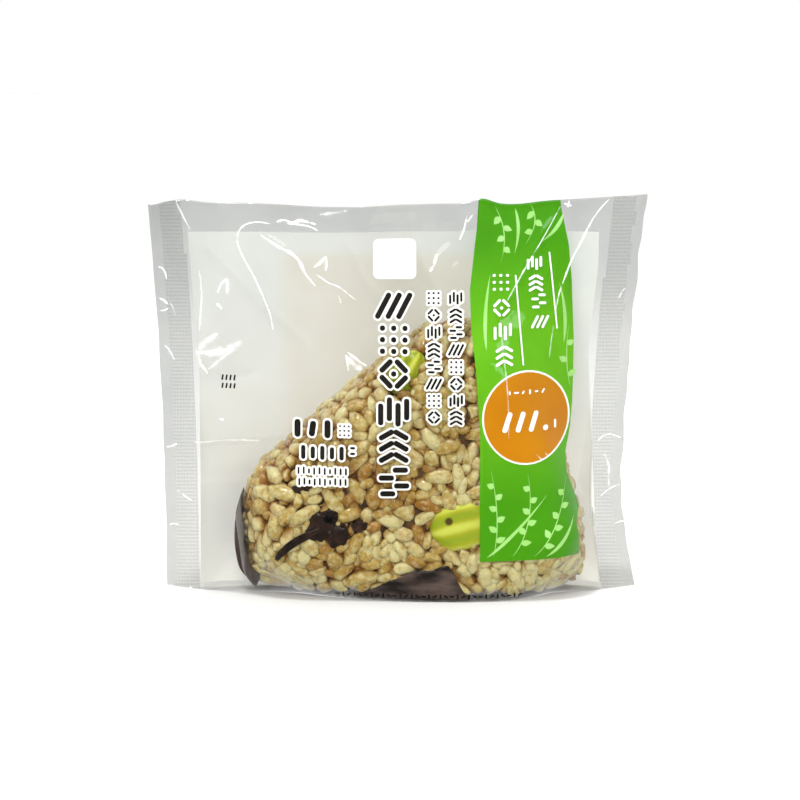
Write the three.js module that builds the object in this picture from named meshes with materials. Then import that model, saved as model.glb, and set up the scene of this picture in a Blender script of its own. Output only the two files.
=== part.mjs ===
// A rice ball sealed in a clear film pack, standing on its flat base.
//
// The pack is a tube of thin clear film that lies across the rice ball. A flat crimped seal
// closes it at the left and at the right, the film folds over along the top, and the seam of
// the tube runs across the back as a narrow flap. Inside, the rice ball is a lopsided rounded
// triangle, as a pressed ball is once it has settled, and it spreads the film into a flat base,
// a full front and a full back. From the ball the film is stretched like a tent to the two
// seals and to the fold at the top.
//
// The pack cannot be opened without tearing it, so it is one closed solid, with the outer form
// of the film round the ball. Sizes are in millimetres. X runs to the right, Y to the back and
// Z up. The origin is at the middle of the base.

import * as THREE from "three";

// The pack's outline, seen from the front.
const PACK_HEIGHT = 86; // from the base to the fold at the top
const TOP_RISE_RIGHT = 2.2; // the fold climbs to its right end
const TOP_RISE_LEFT = 0.8;
const TOP_HALF_WIDTH = 55;
const LEFT_EDGE_AT_BASE = -51.5;
const LEFT_FLARE = 3.5; // the left seal leans out towards the top
const LEFT_FLARE_POWER = 2.2;
const RIGHT_WAIST = 50; // the right seal is drawn in at this height and flares both ways
const RIGHT_WAIST_HEIGHT = 20;
const RIGHT_FLARE_UP = 5;
const RIGHT_FLARE_UP_POWER = 1.6;
const RIGHT_FLARE_DOWN = 3.3;
const RIGHT_FLARE_DOWN_POWER = 1.3;

// The crimped seals and the seam.
const SEAL_WIDTH = 6.5;
const SEAL_HALF_THICKNESS = 0.4;
const SEAL_LIFT = 0.8; // the seals' lower ends hang clear of the table
const SEAM_BOTTOM = 23.5;
const SEAM_TOP = 32.5;
const SEAM_THICKNESS = 0.5;

// The rice ball, seen from the front: three corner circles and a belly circle with one skin
// round them. What of that reaches below the table is pressed flat.
const BALL_CIRCLES = [
  { x: -18, z: 17.5, radius: 18 },
  { x: 28.6, z: 13.5, radius: 14 },
  { x: 14, z: 41.3, radius: 20.5 },
  { x: 12, z: 18, radius: 28 },
];
const BALL_HALF_DEPTH = 17.2; // at the middle of the front and back faces
const BALL_ROUNDING = 16; // from the ball's outline in to its full depth
const ROUNDING_POWER = 2.2; // 2 would be a round edge, and more is squarer
const CONTACT_STEP = 0.5; // spacing of the contours where the film may leave the ball
const UNDERFOLD = 3; // the film turns under the ball this far beyond its lowest contour
const RIM_SHARPNESS = 6; // how sharply the tent bends where two of its edges are equally near

// How finely the film is drawn.
const COLUMN_STEP = 2.5;
const RIGHT_COLUMN_STEP = 1.35; // the ball nearly fills the pack there, so the film is steep
const RIGHT_STEEP_WIDTH = 16;
const ROW_STEP = 2.5;
const FOOT_ROWS = [0, 0.6, 1.8, 3.4, 5.2];
const DIRECTIONS = 96; // directions in which the ball's outline is felt

const clamp01 = (t) => Math.min(1, Math.max(0, t));
const mix = (a, b, t) => a + (b - a) * t;

// How far a point lies outside the ball's outline, or inside it where the answer is negative.
const FEELERS = Array.from({ length: DIRECTIONS }, (_, i) => {
  const angle = (i / DIRECTIONS) * 2 * Math.PI;
  const nx = Math.cos(angle);
  const nz = Math.sin(angle);
  const reach = Math.max(...BALL_CIRCLES.map((c) => c.x * nx + c.z * nz + c.radius));
  return { nx, nz, reach };
});

function distanceToBall(x, z) {
  return Math.max(...FEELERS.map((f) => x * f.nx + z * f.nz - f.reach));
}

// The pack's outline at a height, or at a place across it.
function leftEdge(z) {
  return LEFT_EDGE_AT_BASE - LEFT_FLARE * (z / PACK_HEIGHT) ** LEFT_FLARE_POWER;
}

function rightEdge(z) {
  const up = clamp01((z - RIGHT_WAIST_HEIGHT) / (PACK_HEIGHT - RIGHT_WAIST_HEIGHT));
  const down = clamp01((RIGHT_WAIST_HEIGHT - z) / RIGHT_WAIST_HEIGHT);
  return (
    RIGHT_WAIST +
    RIGHT_FLARE_UP * up ** RIGHT_FLARE_UP_POWER +
    RIGHT_FLARE_DOWN * down ** RIGHT_FLARE_DOWN_POWER
  );
}

function topEdge(x) {
  const right = Math.max(0, x) / TOP_HALF_WIDTH;
  const left = Math.max(0, -x) / TOP_HALF_WIDTH;
  return PACK_HEIGHT + TOP_RISE_RIGHT * right ** 2 + TOP_RISE_LEFT * left ** 2;
}

// The base is flat under the ball and the film beside it, and lifts only along the seals.
function bottomEdge(x) {
  const fromSeal = Math.min(x - leftEdge(0), rightEdge(0) - x);
  return SEAL_LIFT * clamp01(1 - fromSeal / SEAL_WIDTH);
}

// Half the ball's depth on the contour that lies this far inside its outline.
function ballHalfDepth(inset) {
  const outside = 1 - clamp01(inset / BALL_ROUNDING);
  return BALL_HALF_DEPTH * (1 - outside ** ROUNDING_POWER) ** (1 / ROUNDING_POWER);
}

const CONTACT_CONTOURS = Array.from(
  { length: Math.round(BALL_ROUNDING / CONTACT_STEP) + 1 },
  (_, i) => ({ inset: i * CONTACT_STEP, depth: ballHalfDepth(i * CONTACT_STEP) }),
);

// How far a place is from the nearest of the film's held edges: the two seals, the fold and the
// turn under the ball. Where two of them are equally near, the tent bends over softly.
function distanceToRim(x, z) {
  const edges = [
    x - (leftEdge(z) + SEAL_WIDTH),
    rightEdge(z) - SEAL_WIDTH - x,
    topEdge(x) - z,
    z + UNDERFOLD,
  ];
  if (Math.min(...edges) < 1e-6) return 0;
  const sum = edges.reduce((total, edge) => total + edge ** -RIM_SHARPNESS, 0);
  return sum ** (-1 / RIM_SHARPNESS);
}

// Half the pack's depth at a place seen from the front. The film runs straight from its held
// edge to each contour of the ball, and touches the contour that holds it furthest out.
function halfDepth(x, z) {
  const outside = distanceToBall(x, z);
  const toRim = distanceToRim(x, z);
  if (toRim === 0) return SEAL_HALF_THICKNESS;
  const held = CONTACT_CONTOURS.map(({ inset, depth }) => {
    const beyondContour = Math.max(0, outside + inset);
    return (depth * toRim) / (toRim + beyondContour);
  });
  return Math.max(SEAL_HALF_THICKNESS, ...held);
}

// The pack is as deep to the back as to the front with the seam's flap counted in.
const BACK_SHARE = 1 - SEAM_THICKNESS / BALL_HALF_DEPTH;

function backDepth(x, z, nominal) {
  const flap = nominal > SEAM_BOTTOM && nominal < SEAM_TOP ? SEAM_THICKNESS : 0;
  return BACK_SHARE * halfDepth(x, z) + flap;
}

// Places across the pack, as shares of its width, with a column at each edge of a seal.
function columnShares() {
  const width = 2 * TOP_HALF_WIDTH;
  const seal = SEAL_WIDTH / width;
  const steepStart = 1 - seal - RIGHT_STEEP_WIDTH / width;
  const broad = Math.round(((steepStart - seal) * width) / COLUMN_STEP);
  const steep = Math.round(RIGHT_STEEP_WIDTH / RIGHT_COLUMN_STEP);
  const shares = [0, seal / 2];
  for (let i = 0; i < broad; i++) shares.push(mix(seal, steepStart, i / broad));
  for (let i = 0; i <= steep; i++) shares.push(mix(steepStart, 1 - seal, i / steep));
  return [...shares, 1 - seal / 2, 1];
}

// Heights of the rows, closer together at the foot and at the two edges of the seam.
function rowHeights() {
  const foot = FOOT_ROWS[FOOT_ROWS.length - 1];
  const count = Math.round((PACK_HEIGHT - foot) / ROW_STEP);
  const rows = [...FOOT_ROWS];
  for (let i = 1; i <= count; i++) rows.push(mix(foot, PACK_HEIGHT, i / count));
  const seamEdges = [SEAM_BOTTOM, SEAM_TOP].flatMap((z) => [z - 0.15, z + 0.15]);
  const clear = rows.filter((z) => seamEdges.every((edge) => Math.abs(edge - z) > 0.5));
  return [...clear, ...seamEdges].sort((a, b) => a - b);
}

// The film's front and back as two grids that share the pack's outline, with a narrow rim
// between them along the seals and the fold, and the flat base between their lowest rows.
function packGeometry() {
  const shares = columnShares();
  const rows = rowHeights();
  const positions = [];
  const across = shares.length;

  for (const side of [-1, 1]) {
    for (const nominal of rows) {
      for (const share of shares) {
        const x = mix(leftEdge(nominal), rightEdge(nominal), share);
        const z = mix(bottomEdge(x), topEdge(x), nominal / PACK_HEIGHT);
        positions.push(x, side < 0 ? -halfDepth(x, z) : backDepth(x, z, nominal), z);
      }
    }
  }

  const index = [];
  const front = (row, column) => row * across + column;
  const back = (row, column) => rows.length * across + row * across + column;
  const quad = (a, b, c, d) => index.push(a, b, c, a, c, d);

  for (let r = 0; r + 1 < rows.length; r++) {
    for (let c = 0; c + 1 < across; c++) {
      quad(front(r, c), front(r, c + 1), front(r + 1, c + 1), front(r + 1, c));
      quad(back(r, c + 1), back(r, c), back(r + 1, c), back(r + 1, c + 1));
    }
    const last = across - 1;
    quad(back(r, 0), front(r, 0), front(r + 1, 0), back(r + 1, 0));
    quad(front(r, last), back(r, last), back(r + 1, last), front(r + 1, last));
  }
  const top = rows.length - 1;
  for (let c = 0; c + 1 < across; c++) {
    quad(front(top, c), front(top, c + 1), back(top, c + 1), back(top, c));
    quad(back(0, c), back(0, c + 1), front(0, c + 1), front(0, c));
  }

  const geometry = new THREE.BufferGeometry();
  geometry.setAttribute("position", new THREE.Float32BufferAttribute(positions, 3));
  geometry.setIndex(index);
  geometry.computeVertexNormals();
  return geometry;
}

// Clear polypropylene film: smooth and glossy, and grey where it is seen against white.
const clearFilm = new THREE.MeshStandardMaterial({
  name: "clear_film",
  color: 0xdedfda,
  roughness: 0.15,
  metalness: 0,
});

const pack = new THREE.Mesh(packGeometry(), clearFilm);
pack.name = "film_pack";

const riceBallPack = new THREE.Group();
riceBallPack.name = "rice_ball_pack";
riceBallPack.add(pack);

export default riceBallPack;
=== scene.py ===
# The finished look of a rice ball sealed in a clear film pack: film with its crimped seals and
# creases, the print on it, and the rice, barley, edamame and kelp inside.
#
# The pack's form is worked out in millimetres by the functions under "The pack's form", in the
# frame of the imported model: X to the right, Y to the back, Z up from the table. Meshes are turned
# to metres when a piece is finished.

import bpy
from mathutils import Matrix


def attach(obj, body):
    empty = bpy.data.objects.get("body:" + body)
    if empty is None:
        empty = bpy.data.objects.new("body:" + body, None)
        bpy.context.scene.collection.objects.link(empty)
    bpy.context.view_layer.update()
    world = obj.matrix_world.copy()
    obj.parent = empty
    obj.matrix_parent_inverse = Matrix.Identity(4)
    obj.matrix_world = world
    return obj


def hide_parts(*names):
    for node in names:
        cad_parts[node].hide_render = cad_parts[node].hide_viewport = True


bl_info = {
    "name": "Rice Ball in a Film Pack",
    "version": (1, 0, 0),
    "blender": (4, 5, 0),
    "location": "View3D > Sidebar > Rice Ball",
    "description": "Builds a rice ball sealed in a clear film pack",
    "category": "Add Mesh",
}

import math
import random

import bmesh
import bpy
from bpy.props import FloatProperty, FloatVectorProperty, IntProperty, PointerProperty
from mathutils import Matrix, Vector, noise

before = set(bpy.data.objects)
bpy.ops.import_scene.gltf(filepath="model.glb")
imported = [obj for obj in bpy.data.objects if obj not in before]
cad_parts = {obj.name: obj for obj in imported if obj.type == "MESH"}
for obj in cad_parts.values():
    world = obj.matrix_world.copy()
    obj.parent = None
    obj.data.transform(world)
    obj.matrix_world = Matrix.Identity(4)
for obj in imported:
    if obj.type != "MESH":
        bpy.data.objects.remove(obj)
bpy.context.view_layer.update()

MM = 0.001
BODY = "root"
PACK_NODE = "film_pack"

# The pack's outline, seen from the front, in millimetres
PACK_HEIGHT = 86.0
TOP_RISE_RIGHT = 2.2
TOP_RISE_LEFT = 0.8
TOP_HALF_WIDTH = 55.0
LEFT_EDGE_AT_BASE = -51.5
LEFT_FLARE = 3.5
LEFT_FLARE_POWER = 2.2
RIGHT_WAIST = 50.0
RIGHT_WAIST_HEIGHT = 20.0
RIGHT_FLARE_UP = 5.0
RIGHT_FLARE_UP_POWER = 1.6
RIGHT_FLARE_DOWN = 3.3
RIGHT_FLARE_DOWN_POWER = 1.3
SEAL_WIDTH = 6.5
SEAL_HALF_THICKNESS = 0.4
SEAL_LIFT = 0.8
SEAM_BOTTOM = 23.5
SEAM_TOP = 32.5
SEAM_THICKNESS = 0.5

# The rice ball: circles as (x, z, radius) with one skin round them
BALL_CIRCLES = [(-18.0, 17.5, 18.0), (28.6, 13.5, 14.0), (14.0, 41.3, 20.5), (12.0, 18.0, 28.0)]
BALL_HALF_DEPTH = 17.2
BALL_ROUNDING = 16.0
ROUNDING_POWER = 2.2
BALL_MIDDLE = Vector((10.0, 0.0, 22.0))
CONTACT_STEP = 0.5
UNDERFOLD = 3.0
RIM_SHARPNESS = 6.0
DIRECTIONS = 96

FRONT = -1
BACK = 1
BOTH = 0

# How far under the film each thing lies, in millimetres, so that none of them touch
INK_LIFT = 0.10
OUTLINE_LIFT = 0.18
FIELD_LIFT = 0.27
GROUND_LIFT = 0.36
FOOD_LIFT = 0.65


def clamp01(value):
    return min(1.0, max(0.0, value))


def mix(a, b, share):
    return a + (b - a) * share


def smooth(value):
    t = clamp01(value)
    return t * t * (3 - 2 * t)


# The pack's form

def ball_feelers(circles):
    """Directions with the furthest reach of the ball in each, as (nx, nz, reach)."""
    found = []
    for i in range(DIRECTIONS):
        angle = 2 * math.pi * i / DIRECTIONS
        nx, nz = math.cos(angle), math.sin(angle)
        reach = max(x * nx + z * nz + radius for x, z, radius in circles)
        found.append((nx, nz, reach))
    return found


FEELERS = ball_feelers(BALL_CIRCLES)


def ball_distance(x, z):
    """How far a place lies outside the ball's outline, or inside it where it is negative."""
    return max(x * nx + z * nz - reach for nx, nz, reach in FEELERS)


def ball_half_depth(inset):
    outside = 1 - clamp01(inset / BALL_ROUNDING)
    return BALL_HALF_DEPTH * (1 - outside**ROUNDING_POWER) ** (1 / ROUNDING_POWER)


CONTACTS = [
    (i * CONTACT_STEP, ball_half_depth(i * CONTACT_STEP))
    for i in range(round(BALL_ROUNDING / CONTACT_STEP) + 1)
]


def left_edge(z):
    return LEFT_EDGE_AT_BASE - LEFT_FLARE * (max(z, 0) / PACK_HEIGHT) ** LEFT_FLARE_POWER


def right_edge(z):
    up = clamp01((z - RIGHT_WAIST_HEIGHT) / (PACK_HEIGHT - RIGHT_WAIST_HEIGHT))
    down = clamp01((RIGHT_WAIST_HEIGHT - z) / RIGHT_WAIST_HEIGHT)
    return (
        RIGHT_WAIST
        + RIGHT_FLARE_UP * up**RIGHT_FLARE_UP_POWER
        + RIGHT_FLARE_DOWN * down**RIGHT_FLARE_DOWN_POWER
    )


def top_edge(x):
    right = max(0, x) / TOP_HALF_WIDTH
    left = max(0, -x) / TOP_HALF_WIDTH
    return PACK_HEIGHT + TOP_RISE_RIGHT * right**2 + TOP_RISE_LEFT * left**2


def bottom_edge(x):
    from_seal = min(x - left_edge(0), right_edge(0) - x)
    return SEAL_LIFT * clamp01(1 - from_seal / SEAL_WIDTH)


def rim_distance(x, z):
    """Distance from the nearest held edge of the film: a seal, the fold or the turn below."""
    edges = (
        x - left_edge(z) - SEAL_WIDTH,
        right_edge(z) - SEAL_WIDTH - x,
        top_edge(x) - z,
        z + UNDERFOLD,
    )
    if min(edges) < 1e-6:
        return 0.0
    return sum(edge**-RIM_SHARPNESS for edge in edges) ** (-1 / RIM_SHARPNESS)


def half_depth(x, z):
    """Half the pack's depth: the film runs straight from its held edge to the ball."""
    to_rim = rim_distance(x, z)
    if to_rim == 0:
        return SEAL_HALF_THICKNESS
    outside = ball_distance(x, z)
    held = max(depth * to_rim / (to_rim + max(0, outside + inset)) for inset, depth in CONTACTS)
    return max(SEAL_HALF_THICKNESS, held)


# A table of the depth at every millimetre, for the many places that need it less exactly
TABLE_LEFT = -57
TABLE_WIDE = 114
TABLE_TALL = 91
DEPTHS = [[half_depth(TABLE_LEFT + i, k) for i in range(TABLE_WIDE)] for k in range(TABLE_TALL)]


def depth_near(x, z):
    across = min(max(x - TABLE_LEFT, 0), TABLE_WIDE - 1.001)
    up = min(max(z, 0), TABLE_TALL - 1.001)
    i, k = int(across), int(up)
    low = mix(DEPTHS[k][i], DEPTHS[k][i + 1], across - i)
    high = mix(DEPTHS[k + 1][i], DEPTHS[k + 1][i + 1], across - i)
    return mix(low, high, up - k)


# Creases of the film, each as its points (x, z), its height outwards and its half width
FRONT_CREASES = [
    ([(-24.2, 81.7), (-27.9, 82.1), (-32.3, 81.7), (-34.6, 79.4), (-35.0, 76.0), (-33.6, 71.8),
      (-31.1, 67.4), (-28.9, 63.1), (-27.4, 59.4)], 0.62, 2.6),
    ([(-30.5, 79.9), (-24.6, 76.1), (-21.3, 72.2), (-17.9, 68.6)], 0.66, 2.8),
    ([(-27.5, 82.0), (-22.5, 82.7), (-17.5, 82.2)], 0.45, 1.6),
    ([(-18.9, 74.6), (-16.4, 72.4), (-12.6, 70.2)], 0.35, 1.8),
    ([(-17.2, 70.6), (-15.2, 66.4)], 0.30, 1.6),
    ([(-45.0, 57.2), (-41.6, 59.6), (-39.0, 61.8)], 0.55, 1.9),
    ([(-45.0, 56.6), (-40.0, 57.0), (-35.4, 58.6)], 0.60, 2.0),
    ([(-44.4, 55.2), (-41.6, 52.6), (-38.0, 53.8)], 0.45, 1.8),
    ([(-8.2, 54.8), (-5.4, 52.2), (-2.8, 50.8)], 0.34, 2.0),
    ([(-8.2, 54.8), (-8.6, 51.6), (-7.4, 48.0)], 0.30, 1.7),
    ([(12.1, 78.3), (9.4, 74.5), (7.2, 68.8), (4.1, 61.4), (2.8, 56.1)], 0.55, 2.4),
    ([(14.0, 75.0), (10.6, 67.4), (8.0, 60.4), (6.4, 54.6)], 0.35, 2.0),
    ([(36.1, 85.8), (29.1, 74.4), (24.2, 65.6), (20.7, 60.3)], 0.58, 2.2),
    ([(47.1, 87.6), (42.4, 79.9), (39.1, 76.1), (36.6, 66.8), (34.8, 58.8)], 0.62, 2.4),
    ([(-50.0, 86.0), (-46.6, 83.0), (-43.4, 79.4)], 0.50, 2.2),
    ([(-48.6, 86.6), (-38.0, 84.4), (-24.0, 85.2)], 0.35, 2.4),
    ([(-20.0, 84.6), (-8.0, 83.2), (6.0, 84.8)], 0.35, 2.2),
    ([(-46.0, 36.8), (-40.0, 36.2), (-31.0, 36.6)], 0.25, 1.8),
]
BACK_CREASES = [
    ([(40.0, 80.0), (30.0, 68.0), (22.0, 60.0)], 0.55, 2.6),
    ([(-44.0, 78.0), (-30.0, 64.0), (-18.0, 52.0)], 0.60, 2.8),
    ([(-45.0, 50.0), (-38.0, 47.0), (-30.0, 48.0)], 0.50, 2.2),
    ([(2.0, 82.0), (6.0, 72.0), (10.0, 64.0)], 0.45, 2.4),
    ([(-12.0, 80.0), (-8.0, 70.0), (0.0, 60.0)], 0.40, 2.2),
]
CREASE_TAPER = 0.16  # share of its length over which a crease fades in and out


def crease_rows(creases):
    """Each crease as its stretches with their share of the way, and the box that it reaches."""
    rows = []
    for points, height, width in creases:
        lengths = [math.dist(a, b) for a, b in zip(points, points[1:])]
        whole, gone, stretches = sum(lengths), 0.0, []
        for (ax, az), (bx, bz), length in zip(points, points[1:], lengths):
            share = length / whole
            stretches.append((ax, az, bx - ax, bz - az, length * length, gone / whole, share))
            gone += length
        xs, zs = zip(*points)
        box = (min(xs) - width, max(xs) + width, min(zs) - width, max(zs) + width)
        rows.append((stretches, height, width, box))
    return rows


SEAL_NICKS = [  # bends of the seals, which go through both layers
    ([(-53.6, 71.6), (-52.4, 68.4), (-50.8, 67.0)], 0.55, 1.3),
    ([(-53.0, 64.6), (-50.6, 62.4), (-48.8, 61.6)], 0.60, 1.4),
    ([(-52.8, 59.0), (-50.4, 60.2), (-48.2, 57.4)], 0.40, 1.2),
    ([(-52.2, 35.2), (-49.4, 36.4), (-45.6, 36.0)], 0.45, 1.2),
    ([(-51.8, 14.8), (-49.0, 15.6), (-47.6, 15.2)], 0.40, 1.0),
    ([(45.4, 35.4), (48.6, 36.8), (50.6, 35.8)], 0.55, 1.2),
    ([(46.2, 24.0), (48.2, 22.6), (50.8, 22.0)], 0.55, 1.2),
    ([(47.6, 27.0), (48.4, 24.2)], 0.40, 0.9),
    ([(48.0, 15.6), (50.2, 15.4), (51.6, 15.8)], 0.40, 1.0),
    ([(50.0, 62.0), (52.2, 60.4), (53.6, 61.0)], 0.35, 1.4),
]
CREASES = {
    FRONT: crease_rows(FRONT_CREASES),
    BACK: crease_rows(BACK_CREASES),
    BOTH: crease_rows(SEAL_NICKS),
}


def crease_lift(side, x, z):
    """How far the creases stand out of the film at a place."""
    lift = 0.0
    for stretches, height, width, (low_x, high_x, low_z, high_z) in CREASES[side]:
        if not (low_x < x < high_x and low_z < z < high_z):
            continue
        best, where = width * width, 0.0
        for ax, az, dx, dz, squared, start, share in stretches:
            t = clamp01(((x - ax) * dx + (z - az) * dz) / squared)
            apart = (x - ax - t * dx) ** 2 + (z - az - t * dz) ** 2
            if apart < best:
                best, where = apart, start + t * share
        near = 1 - math.sqrt(best) / width
        if near > 0:
            taper = smooth(where / CREASE_TAPER) * smooth((1 - where) / CREASE_TAPER)
            lift += height * taper * near * near
    return lift


SEAL_RUN_OUT = 2.5  # over which the film parts beside a seal
SEAM_SLOPE = 0.5  # over which the seam's flap rises from the film
PRESSED_HALF_THICKNESS = 0.07
LEAST_HALF_DEPTH = 0.05
BALL_HOLDS = 5.0  # how far from the ball, and from the rim, the film is held taut
RIM_HOLDS = 7.0
SWAY = 1.1  # how far the seals wave to the front and back
SWAY_LENGTH = 13.0
SWAY_REACH = 15.0  # how far in from the seal's edge the film waves with it
PUCKER = 0.34  # height of the small folds that run in from the seals
PUCKER_LENGTH = 2.4
PUCKER_REACH = 6.0
SLACK = 0.30  # height of the film's broad, soft unevenness where it hangs free
SLACK_LENGTH = 11.0
HUG = 0.05  # the film's unevenness where the rice presses on it
HUG_LENGTH = 3.6


def film_y(side, x, z):
    """Where the film is, front or back, at a place seen from the front."""
    seal = min(x - left_edge(z), right_edge(z) - x)
    flank = 1.0 if x > 0 else 2.0
    depth = half_depth(x, z)
    pressed = 1 - smooth((seal - SEAL_WIDTH) / SEAL_RUN_OUT)
    depth -= pressed * (SEAL_HALF_THICKNESS - PRESSED_HALF_THICKNESS)
    free = smooth(ball_distance(x, z) / BALL_HOLDS + 0.6) * smooth(rim_distance(x, z) / RIM_HOLDS)
    soft = noise.noise(Vector((x / SLACK_LENGTH, side * 3.0, z / SLACK_LENGTH)))
    fine = noise.noise(Vector((x / HUG_LENGTH, side * 5.0, z / HUG_LENGTH)))
    from_seal = (seal - SEAL_WIDTH + 1) / PUCKER_REACH
    pucker = noise.noise(Vector((flank * 9, side, z / PUCKER_LENGTH + seal / 14)))
    pucker *= smooth(from_seal * 3) * smooth(1.2 - from_seal)
    depth += free * (SLACK * soft + crease_lift(side, x, z)) + (1 - pressed) * HUG * (fine + 0.4)
    depth += PUCKER * pucker * (0.4 + 0.6 * free)
    if side == BACK and SEAM_BOTTOM < z < SEAM_TOP and not pressed > 0.9:
        flap = smooth((z - SEAM_BOTTOM) / SEAM_SLOPE)
        depth += SEAM_THICKNESS * flap * smooth((SEAM_TOP - z) / SEAM_SLOPE)
    loose = 1 - smooth(seal / SWAY_REACH)
    sway = SWAY * loose * noise.noise(Vector((flank * 4, z / SWAY_LENGTH, seal / 20)))
    return side * max(depth, LEAST_HALF_DEPTH) + sway - crease_lift(BOTH, x, z)


# Small helpers for meshes and materials

def linear(hexadecimal):
    """An sRGB colour written as #rrggbb, as a linear colour with full alpha."""
    channels = [int(hexadecimal[i:i + 2], 16) / 255 for i in (1, 3, 5)]
    straight = [c / 12.92 if c <= 0.04045 else ((c + 0.055) / 1.055) ** 2.4 for c in channels]
    return (*straight, 1)


MIX_A, MIX_B, MIX_RESULT = 6, 7, 2  # the colour sockets of a Mix node
WHITE = (1, 1, 1, 1)


def node(tree, kind, inputs=None, stops=None, **settings):
    """Adds a node. Each input is given a value, or is linked where the value is a socket."""
    made = tree.nodes.new(kind)
    for key, value in settings.items():
        setattr(made, key, value)
    for key, value in (inputs or {}).items():
        if isinstance(value, bpy.types.NodeSocket):
            tree.links.new(value, made.inputs[key])
        else:
            made.inputs[key].default_value = value
    for i, (position, colour) in enumerate(stops or []):
        elements = made.color_ramp.elements
        element = elements[i] if i < 2 else elements.new(position)
        element.position, element.color = position, colour
    return made


def new_material(name):
    made = bpy.data.materials.new(name)
    made.use_nodes = True
    made.node_tree.nodes.clear()
    return made, made.node_tree


def with_surface(made, surface):
    node(made.node_tree, "ShaderNodeOutputMaterial", {"Surface": surface})
    return made


def object_place(tree):
    return node(tree, "ShaderNodeTexCoord").outputs["Object"]


def axes_of(tree, place):
    return node(tree, "ShaderNodeSeparateXYZ", {"Vector": place}).outputs


def attribute(tree, name):
    return node(tree, "ShaderNodeAttribute", attribute_name=name).outputs["Fac"]


def clouds(tree, place, size, detail, **inputs):
    """Noise whose patches are about so many millimetres across."""
    inputs = {"Vector": place, "Scale": 1 / (size * MM), "Detail": detail, **inputs}
    return node(tree, "ShaderNodeTexNoise", inputs).outputs["Fac"]


def cells(tree, place, size, inputs=None, **choices):
    """Distance from the middles of cells about so many millimetres across."""
    inputs = {"Vector": place, "Scale": 1 / (size * MM), **(inputs or {})}
    return node(tree, "ShaderNodeTexVoronoi", inputs, **choices).outputs["Distance"]


def maths(tree, operation, *values, clamped=False):
    inputs = dict(enumerate(values))
    return node(tree, "ShaderNodeMath", inputs, operation=operation, use_clamp=clamped).outputs[0]


def mapped(tree, value, begins, ends, most=1.0, least=0.0):
    """From least to most, as a value goes from where that begins to where it ends."""
    return node(tree, "ShaderNodeMapRange", {
        "Value": value, "From Min": begins, "From Max": ends, "To Min": least, "To Max": most,
    }).outputs[0]


def ramp(tree, share, *stops):
    return node(tree, "ShaderNodeValToRGB", {"Fac": share}, stops=stops).outputs["Color"]


def colours_mixed(tree, share, first, second, **choices):
    inputs = {0: share, MIX_A: first, MIX_B: second}
    return node(tree, "ShaderNodeMix", inputs, data_type="RGBA", **choices).outputs[MIX_RESULT]


def shader(tree, kind, inputs=None):
    return node(tree, "ShaderNodeBsdf" + kind, inputs).outputs[0]


def shaders_mixed(tree, share, first, second):
    return node(tree, "ShaderNodeMixShader", {"Fac": share, 1: first, 2: second}).outputs[0]


def bump(tree, height, strength, distance, under=None):
    """Relief of so many millimetres, on top of another relief where one is given."""
    inputs = {"Height": height, "Strength": strength, "Distance": distance * MM}
    if under is not None:
        inputs["Normal"] = under
    return node(tree, "ShaderNodeBump", inputs).outputs[0]


def finish_piece(name, bm, materials):
    """Makes a piece in metres of a mesh in millimetres and hangs it on the pack's body."""
    bmesh.ops.scale(bm, vec=(MM, MM, MM), verts=bm.verts)
    mesh = bpy.data.meshes.new(name)
    bm.to_mesh(mesh)
    bm.free()
    return finish_mesh(name, mesh, materials)


def finish_mesh(name, mesh, materials):
    """Makes an object of a mesh. The film and all that it holds stand for the pack's one solid."""
    for made in materials:
        mesh.materials.append(made)
    mesh.polygons.foreach_set("use_smooth", [True] * len(mesh.polygons))
    piece = bpy.data.objects.new(name, mesh)
    bpy.context.scene.collection.objects.link(piece)
    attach(piece, BODY)
    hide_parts(PACK_NODE)
    return piece


# Settings that a user would change

def length_setting(name, description, millimetres, **limits):
    return FloatProperty(
        name=name, description=description, default=millimetres * MM, subtype="DISTANCE", **limits,
    )


def colour_setting(name, description, hexadecimal):
    return FloatVectorProperty(
        name=name, description=description, default=linear(hexadecimal),
        subtype="COLOR", size=4, min=0, max=1,
    )


class FilmSettings(bpy.types.PropertyGroup):
    step: length_setting(
        "Mesh step", "Spacing of the film's mesh away from the seals", 0.6, min=0.3 * MM,
    )
    rib_pitch: length_setting("Rib pitch", "Spacing of the ribs that the crimping jaws leave", 0.67)
    dash_pitch: length_setting("Dash pitch", "Spacing of the cuts across the ribs", 0.8)
    # clearness and clearness_low differ as painted shade: the film is painted greyer towards the fold
    # and lighter towards the foot
    clearness: colour_setting(
        "Clearness above", "What one layer of film lets through near the fold", "#e6e7e6",
    )
    clearness_low: colour_setting(
        "Clearness below", "What one layer of film lets through near the foot", "#efefed",
    )


class RiceSettings(bpy.types.PropertyGroup):
    seed: IntProperty(name="Seed", description="Changes how the grains lie", default=7)
    grain_length: length_setting("Grain length", "Mean length of a cooked grain", 6.5)
    grain_width: length_setting("Grain width", "Mean width of a cooked grain", 2.95)
    tries: IntProperty(
        name="Tries", description="How often a place is tried for a grain", default=12000,
    )
    pale: colour_setting("Pale rice", "Colour of the cleanest grains", "#c9bf8b")
    stained: colour_setting("Stained rice", "Colour of rice that took up the seasoning", "#946723")
    # The gaps' dark colour is partly seasoning, partly painted shade.
    gap: colour_setting("Gaps", "Colour deep between the grains", "#2b1708")


class FillingSettings(bpy.types.PropertyGroup):
    bean_length: length_setting("Bean length", "Length of an edamame bean", 15)
    bean: colour_setting("Bean", "Colour of the edamame", "#a4a71a")
    kelp: colour_setting("Kelp", "Colour of the salted kelp", "#3d2517")
    kelp_strip: colour_setting("Kelp strip", "Colour of the smooth kelp at the side", "#3a2c29")


class PrintSettings(bpy.types.PropertyGroup):
    green: colour_setting("Green", "Ink of the band", "#62b012")
    orange: colour_setting("Orange", "Ink of the disc", "#c27a00")
    leaf: colour_setting("Leaf", "Pale ink of the sprigs and blades on the band", "#98d66c")


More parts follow.
